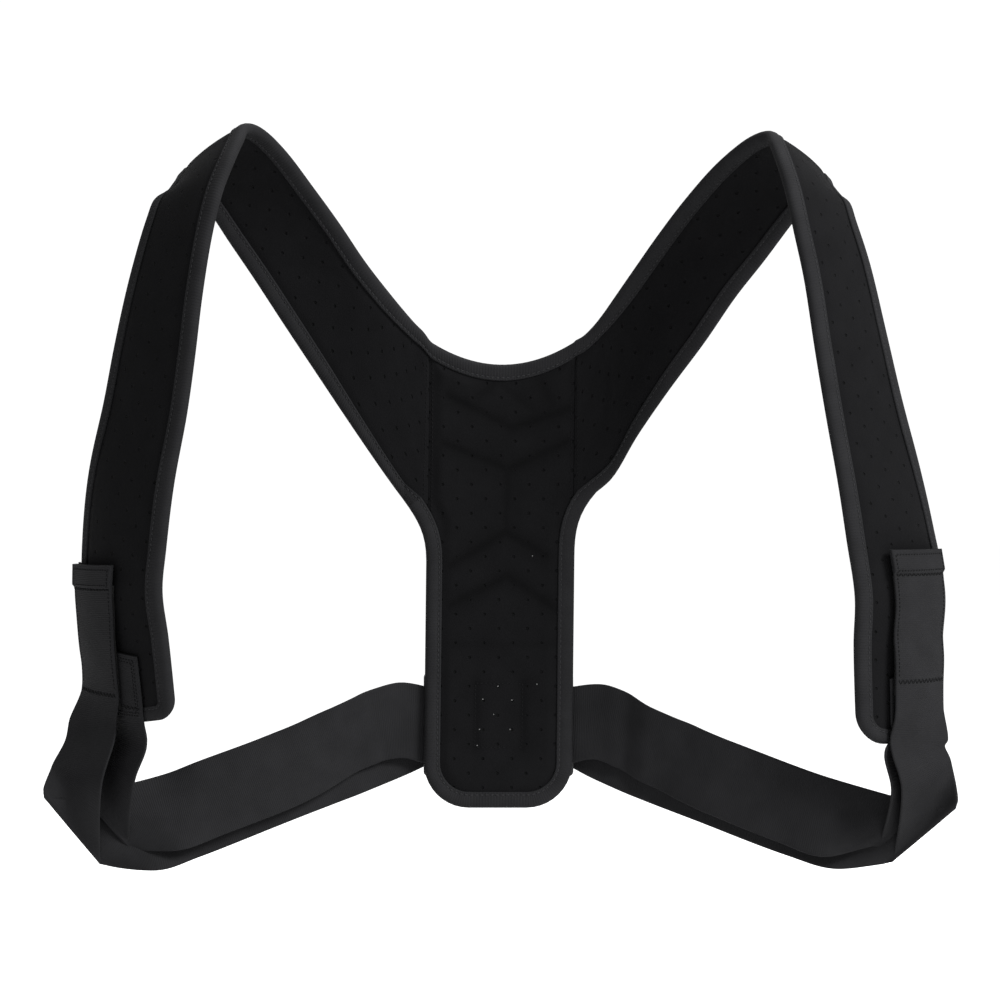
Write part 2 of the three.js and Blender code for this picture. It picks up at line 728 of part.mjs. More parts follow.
// Middle of a ring's outer bar
function ringCentre(sign) {
  const back = STRAP_THICKNESS / 2 + GAP + TAPE_THICKNESS;
  return point(
    sign * (PANEL_HALF - RING_INSET) + slant(-RING_DROP),
    PANEL_MIDDLE + back + BAND_THICKNESS + 3 * BAND_GAP + RING_BAR / 2,
    -RING_DROP,
  );
}

// Half turn of a band round the outer bar of its ring
function bightStations(sign) {
  const centre = ringCentre(sign);
  const radius = RING_BAR / 2 * Math.SQRT2 + BAND_GAP + BAND_THICKNESS / 2;
  return [0, 45, 90, 135, 180].map(radians).map((angle) => {
    const normal = point(-sign * Math.sin(angle), -Math.cos(angle), 0);
    return {
      middle: centre.clone().addScaledVector(normal, radius),
      normal: normal.clone().negate(),
      cup: 0,
    };
  });
}

// Solid band through its stations, finely stepped
function bandSolid(strap, side) {
  const stations = bandStations(strap, side);
  const middles = new THREE.CatmullRomCurve3(stations.map((s) => s.middle), false, 'centripetal');
  const spans = stations.length - 1;
  const rowAt = (i, share) => {
    const t = (i + share) / spans;
    const along = middles.getTangent(t);
    const from = stations[i];
    const to = stations[Math.min(i + 1, spans)];
    const normal = from.normal.clone().lerp(to.normal, share);
    normal.addScaledVector(along, -normal.dot(along)).normalize();
    const cup = THREE.MathUtils.lerp(from.cup, to.cup, share);
    return bandRow(middles.getPoint(t), along, normal, cup, BAND_WIDTH, BAND_THICKNESS);
  };
  const rows = [];
  for (let i = 0; i < spans; i += 1) {
    const span = stations[i].middle.distanceTo(stations[i + 1].middle);
    const turn = THREE.MathUtils.radToDeg(stations[i].normal.angleTo(stations[i + 1].normal));
    const count = Math.max(Math.ceil(span / STEP), Math.ceil(turn / TURN));
    for (let k = 0; k < count; k += 1) {
      rows.push(rowAt(i, k / count));
    }
  }
  rows.push(rowAt(spans, 0));
  thickenHem(rows);
  return sheetSolid(rows);
}

function bandRow(middle, along, normal, cup, width, thickness) {
  const across = along.clone().cross(normal);
  const shares = [-1, -0.5, 0, 0.5, 1];
  return {
    points: shares.map((share) => middle.clone()
      .addScaledVector(across, share * width / 2)
      .addScaledVector(normal, -cup * share * share)),
    normals: shares.map((share) => normal.clone()
      .addScaledVector(across, 4 * cup * share / width).normalize()),
    outer: shares.map(() => thickness / 2),
    inner: shares.map(() => thickness / 2),
  };
}

// The tab's end is folded over, so it is twice as thick on the side that looks out
function thickenHem(rows) {
  const middle = (row) => row.points[2];
  const end = middle(rows[rows.length - 1]);
  for (const row of rows) {
    if (middle(row).distanceTo(end) <= HEM_LENGTH) {
      row.inner = row.inner.map((half) => half + BAND_THICKNESS);
    }
  }
}

// Hook patch between a strap and its tab
function patchSolid(strap, side) {
  const top = strap.total - TAB_RISE[side] + RUN_OFF;
  const bottom = Math.min(top + PATCH_LENGTH, strap.total - RUN_OFF);
  const place = (length) => tabStation(strap, side, length, PATCH_LIFT).middle;
  return sheetSolid(evenSteps(top, bottom, STEP / 2).map((length) => {
    const { middle, normal, cup } = tabStation(strap, side, length, PATCH_LIFT);
    const along = place(length + 1).sub(place(length - 1)).normalize();
    const patchCup = cup * (PATCH_WIDTH / BAND_WIDTH) ** 2;
    return bandRow(middle, along, normal, patchCup, PATCH_WIDTH, PATCH_THICKNESS);
  }));
}

// Rectangular ring with its bars upright, lying against the curve of the back
function ringMesh(name, sign, material) {
  const outline = new THREE.Shape();
  const width = RING_REACH + RING_BAR;
  const height = RING_SLOT + 2 * RING_BAR;
  roundedRectangle(outline, width, height, RING_BAR);
  const slot = new THREE.Path();
  roundedRectangle(slot, width - 2 * RING_BAR, RING_SLOT, RING_BAR / 3);
  outline.holes.push(slot);
  const geometry = new THREE.ExtrudeGeometry(outline, {
    depth: RING_BAR,
    bevelEnabled: false,
    curveSegments: 3,
  });
  geometry.translate(0, 0, -RING_BAR / 2);
  const mesh = new THREE.Mesh(geometry, material);
  mesh.name = name;
  const centre = ringCentre(sign);
  mesh.position.set(centre.x - sign * RING_REACH / 2, centre.y - bow(centre.z), centre.z);
  const slope = (bow(centre.z - 1) - bow(centre.z + 1)) / 2;
  mesh.rotation.x = Math.PI / 2 - Math.atan(slope);
  return mesh;
}

function roundedRectangle(path, width, height, radius) {
  const x = width / 2;
  const y = height / 2;
  path.moveTo(x - radius, -y);
  path.absarc(x - radius, -y + radius, radius, -Math.PI / 2, 0, false);
  path.absarc(x - radius, y - radius, radius, 0, Math.PI / 2, false);
  path.absarc(-x + radius, y - radius, radius, Math.PI / 2, Math.PI, false);
  path.absarc(-x + radius, -y + radius, radius, Math.PI, Math.PI * 1.5, false);
  path.closePath();
}

// Webbing behind the panel: a flattened loop through both rings, its two layers sewn together
function webbingSolid() {
  const barY = ringCentre(1).y;
  const turnX = PANEL_HALF - RING_INSET - RING_REACH;
  const radius = RING_BAR / 2 * Math.SQRT2 + GAP + WEBBING_THICKNESS / 2;
  const flatX = turnX - RING_REACH;
  const nearY = PANEL_THICKNESS + GAP + WEBBING_THICKNESS / 2;
  const farY = nearY + WEBBING_THICKNESS + GAP;
  const halfLoop = (sign) => [
    [sign * flatX, nearY],
    ...[-90, -45, 0, 45, 90].map(radians).map((angle) => [
      sign * (turnX + radius * Math.cos(angle)),
      barY + radius * Math.sin(angle),
    ]),
    [sign * flatX, farY],
  ];
  const loop = [...halfLoop(1), ...halfLoop(-1).reverse()];
  const half = WEBBING_THICKNESS / 2;
  const rings = loop.map(([x, y], i) => {
    const [beforeX, beforeY] = loop[(i + loop.length - 1) % loop.length];
    const [afterX, afterY] = loop[(i + 1) % loop.length];
    const side = new THREE.Vector2(afterY - beforeY, beforeX - afterX).normalize();
    return [[1, 1], [1, -1], [-1, -1], [-1, 1]].map(([face, end]) => point(
      x + slant(-RING_DROP) + face * half * side.x,
      y + face * half * side.y,
      -RING_DROP + end * WEBBING_WIDTH / 2,
    ));
  });
  return ringSolid(rings, true);
}

const materials = {
  neoprene: new THREE.MeshStandardMaterial({ color: 0x16171a, roughness: 0.9, metalness: 0 }),
  binding: new THREE.MeshStandardMaterial({ color: 0x222326, roughness: 0.8, metalness: 0 }),
  elastic: new THREE.MeshStandardMaterial({ color: 0x1e1f22, roughness: 0.75, metalness: 0 }),
  hook: new THREE.MeshStandardMaterial({ color: 0x121315, roughness: 0.85, metalness: 0 }),
  webbing: new THREE.MeshStandardMaterial({ color: 0x18191b, roughness: 0.85, metalness: 0 }),
  plastic: new THREE.MeshStandardMaterial({ color: 0x101113, roughness: 0.4, metalness: 0 }),
};

function named(name, geometry, material) {
  const mesh = new THREE.Mesh(geometry, material);
  mesh.name = name;
  return mesh;
}

const straps = { left: new Strap('left'), right: new Strap('right') };
const brace = new THREE.Group();
brace.add(named('spine_panel', panelSolid(), materials.neoprene));
brace.add(named('edge_binding', bindingSolid(straps), materials.binding));
brace.add(named('ring_webbing', webbingSolid(), materials.webbing));
for (const side of ['left', 'right']) {
  const strap = straps[side];
  brace.add(named(`strap_${side}`, strapSolid(strap), materials.neoprene));
  brace.add(named(`band_${side}`, bandSolid(strap, side), materials.elastic));
  brace.add(named(`hook_patch_${side}`, patchSolid(strap, side), materials.hook));
  brace.add(ringMesh(`ring_${side}`, strap.sign, materials.plastic));
}

export default brace;
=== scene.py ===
"""Looks of a posture corrector: padded panel and straps, ribbed binding, elastic bands.

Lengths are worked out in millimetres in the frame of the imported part, and turned into metres
when a mesh is made. "Left" is the -X side, and the wearer faces -Y.
"""

import math

import bpy
import numpy as np
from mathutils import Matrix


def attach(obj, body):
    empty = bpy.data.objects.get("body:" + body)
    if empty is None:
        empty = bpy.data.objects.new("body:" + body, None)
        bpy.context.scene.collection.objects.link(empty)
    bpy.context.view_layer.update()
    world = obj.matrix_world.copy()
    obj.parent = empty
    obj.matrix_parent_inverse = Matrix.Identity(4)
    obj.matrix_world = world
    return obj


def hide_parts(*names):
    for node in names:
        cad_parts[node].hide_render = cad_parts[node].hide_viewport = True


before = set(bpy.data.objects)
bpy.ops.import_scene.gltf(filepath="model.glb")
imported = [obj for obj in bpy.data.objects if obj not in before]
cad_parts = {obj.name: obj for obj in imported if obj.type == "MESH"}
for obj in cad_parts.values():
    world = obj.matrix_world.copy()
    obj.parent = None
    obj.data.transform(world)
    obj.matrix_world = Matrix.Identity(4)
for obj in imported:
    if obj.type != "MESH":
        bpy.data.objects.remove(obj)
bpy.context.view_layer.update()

MM = 0.001

# Angles from which an edge is drawn sharp
PAD_SHARP = 50
BEAD_SHARP = 60
SHEET_SHARP = 70

# Overall form
HALF_SPAN = 286
CREST_RISE = 294
FRONT_DROP = 390
FRONT_REACH = 130
BAND_DROP = 178
BACK_BOW = 6

# Spine panel
PANEL_HALF = 49
PANEL_LENGTH = 292
PANEL_MIDDLE = 3
PANEL_BOTTOM = -PANEL_LENGTH / 2
NECKLINE_DIP = 16
PANEL_CORNER = 30
PANEL_SLANT = 3.2
SEAM_LAP = 0.7
SEAM_TOP = PANEL_LENGTH / 2 + NECKLINE_DIP
ARMPIT_FLARE = 7
ARMPIT_TURN = (40, 60)
PANEL_CROWN = 2.0
SWELL = 0.35
SEAM_DIP = 0.7
SEAM_DIP_WIDTH = 2.2

# Shoulder straps
STRAP_WIDTH = 68
STRAP_HALF = 2
STRAP_CUP = 3.2
TIP_CUP = 7
TIP_CORNER = {"left": 13, "right": 20}
PAD_PUFF = 0.8
LEAN_SHARE = 0.2

# Edge binding
TAPE_LEG = 10.5
EDGE_INSET = 1.2
ARMPIT_REACH = 20
ARMPIT_PULL = 0.4
ARMPIT_STEPS = 8
SEAM_INSET = 8.7
STITCH_PITCH = 3.4

# Elastic bands
BAND_WIDTH = 50
BAND_THICKNESS = 1.6
BAND_GAP = 0.7
SEWN_LENGTH = 50
SEWN_SHIFT = 5
RUN_OFF = 4
HEM_LENGTH = 15
PATCH_THICKNESS = 1.4
GAP = 0.3
TAPE_THICKNESS = 0.9
RING_DROP = 92
RING_INSET = 1
RING_BAR = 3.2
CAD_STEP = 18

# Steps of the dressed pieces
TANGENT_STEP = 1e-4
ALONG_STEP = 0.004
STRAP_SAMPLES = 1201
PAD_STEP = 1.8
PAD_TURN = 6
PAD_COLUMNS = 44
PANEL_COLUMNS = 78
PANEL_ROW_COUNT = 200
TAPE_STEP = 3.0
TAPE_TURN = 9
BAND_STEP = 2.6
BAND_TURN = 6

BACK_COLUMNS = ("out", "up", "fore", "swing", "turn", "wide")
BACK_ROWS = {
    "left": [
        (0.000, 0.000, 0.00, 90, 0, 1.84),
        (0.017, 0.042, 0.00, 86, 0, 1.71),
        (0.039, 0.082, 0.00, 81, 0, 1.54),
        (0.069, 0.146, 0.00, 69, 0, 1.27),
        (0.105, 0.229, 0.00, 51, 2, 1.07),
        (0.167, 0.380, 0.02, 34, 6, 1.00),
        (0.237, 0.567, 0.07, 31, 10, 1.00),
        (0.308, 0.740, 0.15, 30, 15, 1.00),
        (0.375, 0.894, 0.28, 32, 22, 1.00),
        (0.428, 0.978, 0.41, 33, 29, 1.00),
        (0.461, 0.980, 0.54, 32, 35, 1.00),
    ],
    "right": [
        (0.000, 0.000, 0.00, 90, 0, 1.82),
        (0.020, 0.020, 0.00, 87, 0, 1.58),
        (0.047, 0.066, 0.00, 82, 0, 1.48),
        (0.075, 0.126, 0.00, 73, 0, 1.22),
        (0.105, 0.199, 0.00, 57, 2, 1.03),
        (0.149, 0.307, 0.02, 39, 7, 0.98),
        (0.224, 0.495, 0.06, 34, 11, 0.98),
        (0.298, 0.669, 0.13, 34, 15, 1.00),
        (0.382, 0.834, 0.26, 33, 23, 1.00),
        (0.455, 0.931, 0.40, 32, 33, 1.00),
        (0.499, 0.947, 0.53, 32, 39, 1.00),
    ],
}
FRONT_COLUMNS = ("out", "down", "fore", "swing", "turn", "wide")
FRONT_ROWS = {
    "left": [
        (0.561, 0.032, 0.67, 29, 38, 1.00),
        (0.576, 0.070, 0.79, 22, 42, 1.00),
        (0.597, 0.120, 0.87, 3, 47, 1.00),
        (0.617, 0.188, 0.93, -15, 47, 1.00),
        (0.637, 0.285, 0.98, -14, 44, 1.04),
        (0.654, 0.386, 1.00, -12, 43, 1.11),
        (0.671, 0.470, 1.00, -10, 43, 1.15),
        (0.700, 0.580, 0.98, -8, 44, 1.21),
        (0.721, 0.686, 0.93, -4, 46, 1.24),
        (0.732, 0.754, 0.88, 1, 48, 1.24),
        (0.722, 0.830, 0.82, 6, 49, 1.24),
        (0.709, 0.958, 0.72, 8, 50, 1.24),
    ],
    "right": [
        (0.590, 0.038, 0.67, 31, 41, 1.00),
        (0.602, 0.076, 0.78, 23, 44, 1.00),
        (0.615, 0.120, 0.86, 6, 49, 1.00),
        (0.632, 0.188, 0.93, -14, 50, 1.00),
        (0.652, 0.260, 0.96, -16, 47, 1.00),
        (0.674, 0.370, 1.00, -12, 44, 1.02),
        (0.697, 0.467, 1.00, -11, 42, 1.04),
        (0.725, 0.575, 0.98, -11, 41, 1.10),
        (0.747, 0.668, 0.93, -8, 41, 1.17),
        (0.770, 0.763, 0.86, -1, 42, 1.25),
        (0.771, 0.840, 0.80, 0, 43, 1.26),
        (0.783, 1.000, 0.68, 2, 44, 1.26),
    ],
}

# Free runs of the bands, from a strap's tip to the ring. A row with no face is the middle of a
# diagonal fold, with half the length of its crease in place of the tip's angle. The rows beside
# it only give the directions in which the band comes and goes.
RUN_COLUMNS = ("out", "down", "fore", "face", "tip")
INNER_ROWS = {
    "left": [
        (0.832, 0.532, 0.50, 51, 0),
        (0.859, 0.625, 0.49, 48, 0),
        (0.882, 0.716, 0.46, 46, 0),
        (0.884, 0.829, 0.42, None, 26),
        (0.813, 0.855, 0.37, 180, -34),
        (0.737, 0.807, 0.35, 172, -16),
        (0.653, 0.760, 0.31, 168, -3),
        (0.455, 0.642, 0.20, 166, 5),
        (0.344, 0.554, 0.09, 164, 16),
        (0.231, 0.498, -0.01, 172, 2),
    ],
    "right": [
        (0.909, 0.588, 0.51, 44, 0),
        (0.923, 0.671, 0.49, 44, 0),
        (0.934, 0.752, 0.45, 44, 0),
        (0.912, 0.850, 0.41, None, 24),
        (0.816, 0.859, 0.37, 180, -28),
        (0.741, 0.829, 0.35, 172, -12),
        (0.654, 0.786, 0.30, 168, -2),
        (0.455, 0.664, 0.20, 166, 4),
        (0.344, 0.587, 0.10, 164, 12),
        (0.231, 0.505, -0.01, 172, 2),
    ],
}
OUTER_ROWS = {
    "left": [
        (0.915, 0.541, 0.46, 43, 0),
        (0.941, 0.661, 0.49, 42, 0),
        (0.956, 0.743, 0.49, 45, 0),
        (0.953, 0.864, 0.43, None, 31),
        (0.862, 0.918, 0.35, 180, -38),
        (0.783, 0.886, 0.31, 174, -24),
        (0.707, 0.843, 0.26, 168, -8),
        (0.480, 0.709, 0.13, 168, 0),
        (0.346, 0.634, 0.00, 170, 0),
        (0.232, 0.562, -0.08, 176, 0),
    ],
    "right": [
        (0.928, 0.570, 0.545, 40, 0),
        (0.945, 0.653, 0.53, 41, 0),
        (0.975, 0.741, 0.51, 46, 0),
        (0.943, 0.880, 0.43, None, 31),
        (0.864, 0.925, 0.31, 180, -36),
        (0.768, 0.883, 0.26, 172, -20),
        (0.675, 0.839, 0.23, 168, -6),
        (0.485, 0.732, 0.12, 168, 0),
        (0.323, 0.638, -0.00, 170, 0),
        (0.232, 0.576, -0.08, 176, 0),
    ],
}
TAB_RISE = {"left": 104, "right": 128}
TAB_SHIFT = {"left": (24, 17), "right": (3, 8)}

# Quilting on the panel's inner face: ends of each groove, and how deep it is
QUILT_SHARE = 0.6
QUILT_WIDTHS = (2.6, 8)
QUILT_COLUMNS = ("x0", "z0", "x1", "z1", "depth")
QUILT_ROWS = [
    (-35.6, 124.7, 5.3, 104.3, 1.3),
    (5.3, 104.3, 45.0, 117.5, 1.3),
    (-5.9, 133.3, -17.2, 124.7, 0.7),
    (0.0, 131.3, 20.5, 115.5, 0.7),
    (25.0, 134.0, 34.3, 116.8, 0.7),
    (-38.9, 93.7, 3.3, 77.2, 1.3),
    (3.3, 77.2, 42.2, 95.0, 1.3),
    (2.6, 75.2, 2.6, 35.6, 0.8),
    (2.6, 35.6, -33.7, 13.9, 1.3),
    (2.6, 35.6, 28.4, 20.5, 1.3),
    (3.3, 6.6, -33.7, -12.5, 1.3),
    (3.3, 6.6, 37.0, -15.2, 1.3),
    (-36.0, -38.9, 36.0, -38.9, 0.5),
    (-15.6, -64.0, -15.6, -106.0, 1.0),
    (15.4, -64.0, 15.4, -106.0, 1.0),
]


def smooth(value, start, end):
    share = np.clip((np.asarray(value, float) - start) / (end - start), 0, 1)
    return share * share * (3 - 2 * share)


def unit(v):
    return v / np.linalg.norm(v, axis=-1, keepdims=True)


def bell(value, middle, width):
    return np.exp(-((np.asarray(value, float) - middle) / width) ** 2)


def slant(z):
    return PANEL_SLANT * z / PANEL_LENGTH


def bow(z):
    half = PANEL_LENGTH / 2
    beyond = np.maximum(np.abs(z) - half, 0)
    within = np.minimum(np.abs(z), half)
    return BACK_BOW * (within / half) ** 2 + beyond * 2 * BACK_BOW / half


def steps(start, end, step):
    count = max(round(abs(end - start) / step), 1)
    return np.linspace(start, end, count + 1)


class Curve:
    """Centripetal curve through points, from 0 to 1."""

    def __init__(self, points):
        p = np.array(points, float)
        self.points = np.vstack([2 * p[0] - p[1], p, 2 * p[-1] - p[-2]])
        self.spans = len(p) - 1

    def at(self, t):
        place = np.clip(np.atleast_1d(t), 0, 1) * self.spans
        i = np.minimum(place.astype(int), self.spans - 1)
        w = (place - i)[:, None]
        a, b, c, d = (self.points[i + k] for k in range(4))
        ab, bc, cd = (
            np.sum((q - p) ** 2, 1)[:, None] ** 0.25 for p, q in ((a, b), (b, c), (c, d))
        )
        out = ((b - a) / ab - (c - a) / (ab + bc) + (c - b) / bc) * bc
        into = ((c - b) / bc - (d - b) / (bc + cd) + (d - c) / cd) * bc
        square = 3 * (c - b) - 2 * out - into
        cube = 2 * (b - c) + out + into
        return b + w * (out + w * (square + w * cube))

    def tangent(self, t):
        t = np.asarray(t)
        return unit(self.at(t + TANGENT_STEP) - self.at(t - TANGENT_STEP))


class Strap:
    """A shoulder strap's middle surface, by length from the seam and distance from the neck edge."""

    def __init__(self, side):
        self.side = side
        self.sign = -1 if side == "left" else 1
        self.corner = TIP_CORNER[side]
        necks, arms = [], []
        seam = PANEL_HALF - EDGE_INSET + GAP
        for values in BACK_ROWS[side]:
            row = dict(zip(BACK_COLUMNS, values))
            x = seam + row["out"] * (HALF_SPAN - seam)
            self.add(necks, arms, row, x, SEAM_TOP + row["up"] * (CREST_RISE - SEAM_TOP))
        for values in FRONT_ROWS[side]:
            row = dict(zip(FRONT_COLUMNS, values))
            self.add(necks, arms, row, row["out"] * HALF_SPAN, CREST_RISE - row["down"] * FRONT_DROP)
        self.neck, self.arm = Curve(necks), Curve(arms)
        self.t = np.linspace(0, 1, STRAP_SAMPLES)
        gaps = np.linalg.norm(np.diff(self.middle(self.t), axis=0), axis=1)
        self.lengths = np.concatenate([[0], np.cumsum(gaps)])
        self.total = self.lengths[-1]

    def add(self, necks, arms, row, x, z):
        neck = np.array([self.sign * x, PANEL_MIDDLE - row["fore"] * FRONT_REACH, z])
        swing, turn = math.radians(row["swing"]), math.radians(row["turn"])
        across = np.array([
            self.sign * math.cos(swing) * math.cos(turn),
            math.sin(turn),
            -math.sin(swing) * math.cos(turn),
        ])
        arm = neck + across * STRAP_WIDTH * row["wide"]
        share = 1 - smooth(row["out"], 0, LEAN_SHARE)
        neck[0] += share * slant(neck[2])
        arm[0] += share * slant(arm[2])
        necks.append(neck)
        arms.append(arm)

    def middle(self, t):
        return (self.neck.at(t) + self.arm.at(t)) / 2

    def parameter(self, length):
        return np.interp(length, self.lengths, self.t)

    def width(self, length):
        t = self.parameter(length)
        return np.linalg.norm(self.neck.at(t) - self.arm.at(t), axis=1)

    def cup(self, length):
        rise = STRAP_CUP * smooth(length, STRAP_WIDTH, 2 * STRAP_WIDTH)
        tip = smooth(length, self.total - 3 * STRAP_WIDTH, self.total - 2 * STRAP_WIDTH)
        return rise + (TIP_CUP - STRAP_CUP) * tip

    def place(self, length, across):
        length, across = np.broadcast_arrays(np.atleast_1d(length), np.atleast_1d(across))
        t = self.parameter(length)
        neck, arm = self.neck.at(t), self.arm.at(t)
        chord = arm - neck
        width = np.linalg.norm(chord, axis=1)[:, None]
        share = across[:, None] / width
        before, after = np.maximum(t - ALONG_STEP, 0), np.minimum(t + ALONG_STEP, 1)
        along = self.middle(after) - self.middle(before)
        normal = unit(np.cross(chord, along)) * -self.sign
        cup = self.cup(length)[:, None]
        place = neck + share * chord + normal * 4 * cup * share * (1 - share)
        slope = 4 * cup * (1 - 2 * share) / width
        return place, unit(normal - chord / width * slope)


def mesh_piece(name, points, faces, cloth, material, sharp=PAD_SHARP):
    """A named piece from points in millimetres; cloth holds each point's place on the fabric."""
    points = np.array(points, float).reshape(-1, 3)
    points[:, 1] -= bow(points[:, 2])
    mesh = bpy.data.meshes.new(name)
    mesh.from_pydata((points * MM).tolist(), [], faces)
    mesh.shade_smooth()
    mesh.set_sharp_from_angle(angle=math.radians(sharp))
    if cloth is not None:
        cloth = np.array(cloth, float)
        cloth = cloth.reshape(-1, cloth.shape[-1])
        spots = np.zeros((len(cloth), 3), np.float32)
        spots[:, :cloth.shape[-1]] = cloth
        attribute = mesh.attributes.new("cloth", "FLOAT_VECTOR", "POINT")
        attribute.data.foreach_set("vector", spots.ravel())
    mesh.materials.append(material)
    piece = bpy.data.objects.new(name, mesh)
    bpy.context.scene.collection.objects.link(piece)
    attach(piece, "root")
    return piece


def ring_faces(rings, size, closed):
    """Quads that join rings of points; an open row of rings is capped at both ends."""
    faces = []
    spans = rings if closed else rings - 1
    for i in range(spans):
        here, after = i * size, (i + 1) % rings * size
        for j in range(size):
            k = (j + 1) % size
            faces.append((here + j, here + k, after + k, after + j))
    if not closed:
        last = (rings - 1) * size
        for j in range(size // 2 - 1):
            mirror = size - 1 - j
            faces.append((j, mirror, mirror - 1, j + 1))
            faces.append((last + j, last + j + 1, last + mirror - 1, last + mirror))
    return faces


def outward(points, faces):
    """The same faces, turned to look out."""
    p = np.array(points, float).reshape(-1, 3)
    f = np.array(faces)
    volume = np.einsum("ij,ij->i", p[f[:, 0]], np.cross(p[f[:, 1]], p[f[:, 2]])).sum()
    volume += np.einsum("ij,ij->i", p[f[:, 0]], np.cross(p[f[:, 2]], p[f[:, 3]])).sum()
    return [face[::-1] for face in faces] if volume < 0 else faces


def shell_piece(name, outer, inner, cloth, material, sharp=PAD_SHARP):
    """A solid sheet between two grids of points."""
    rings = np.concatenate([outer, inner[:, ::-1]], axis=1)
    spots = np.concatenate([cloth, cloth[:, ::-1]], axis=1)
    faces = outward(rings, ring_faces(len(rings), rings.shape[1], False))
    return mesh_piece(name, rings, faces, spots, material, sharp)


# Stitches: each is a short bead from a to b, lying on a cloth with normal n
BEAD_SIDES = 6
BEAD_RINGS = [(-0.5, 0.4), (-0.32, 0.95), (0.0, 1.1), (0.32, 0.95), (0.5, 0.4)]


def running(points, normals, pitch, fill=0.74):
    """Stitches along a line of points, one each pitch."""
    gaps = np.linalg.norm(np.diff(points, axis=0), axis=1)
    lengths = np.concatenate([[0], np.cumsum(gaps)])
    starts = np.arange(0, lengths[-1] - pitch * fill, pitch)

    def along(at, values):
        return np.stack([np.interp(at, lengths, values[:, k]) for k in range(3)], 1)

    ends = starts + pitch * fill
    return along(starts, points), along(ends, points), along(starts, normals)


def joined(points, normals):
    """Stitches from each point to the next."""
    return points[:-1], points[1:], normals[:-1]


def thread_piece(name, groups, radius, material):
    a, b, n = (np.concatenate([g[k] for g in groups]) for k in range(3))
    along = unit(b - a)
    length = np.linalg.norm(b - a, axis=1)[:, None]
    up = unit(n - along * np.sum(n * along, 1, keepdims=True))
    side = np.cross(along, up)
    rings = []
    for place, swell in BEAD_RINGS:
        centre = (a + b) / 2 + along * length * place - up * radius * (1 - swell)
        for k in range(BEAD_SIDES):
            angle = 2 * math.pi * k / BEAD_SIDES
            rings.append(centre + radius * swell * (math.cos(angle) * side + math.sin(angle) * up))
    points = np.stack(rings, 1)
    size = points.shape[1]
    faces = []
    for s in range(len(points)):
        base = s * size
        for r in range(len(BEAD_RINGS) - 1):
            for k in range(BEAD_SIDES):
                j = (k + 1) % BEAD_SIDES
                here, after = base + r * BEAD_SIDES, base + (r + 1) * BEAD_SIDES
                faces.append((here + k, here + j, after + j, after + k))
        faces.append(tuple(base + k for k in reversed(range(BEAD_SIDES))))
        faces.append(tuple(base + size - BEAD_SIDES + k for k in range(BEAD_SIDES)))
    return mesh_piece(name, points, faces, None, material, BEAD_SHARP)


# Patterns of a cloth, in millimetres on it: scale and detail of its grain and of its mottled
#  tone, the grid of holes, and how unevenly the holes show. The holes are painted darker: painted
#  shade in them.
GRAIN_NOISE = (1.6, 3)
MOTTLE_NOISE = (0.06, 2)
MOTTLE_LOW = 0.75
MOTTLE_SPAN = 0.5
CLOTH_SHINE = 0.03
# Painted shade: how much the quilted grooves' depth darkens the cloth's colour
GROOVE_PAINTED_SHADE = 0.26
HOLE_PITCH = 19.0
HOLE_START = (0.7, 66.0)
HOLE_INNER = 0.475
HOLE_OUTER = 1.2825
HOLE_NOISE = (0.11, 1)
HOLE_FADE = 1.1


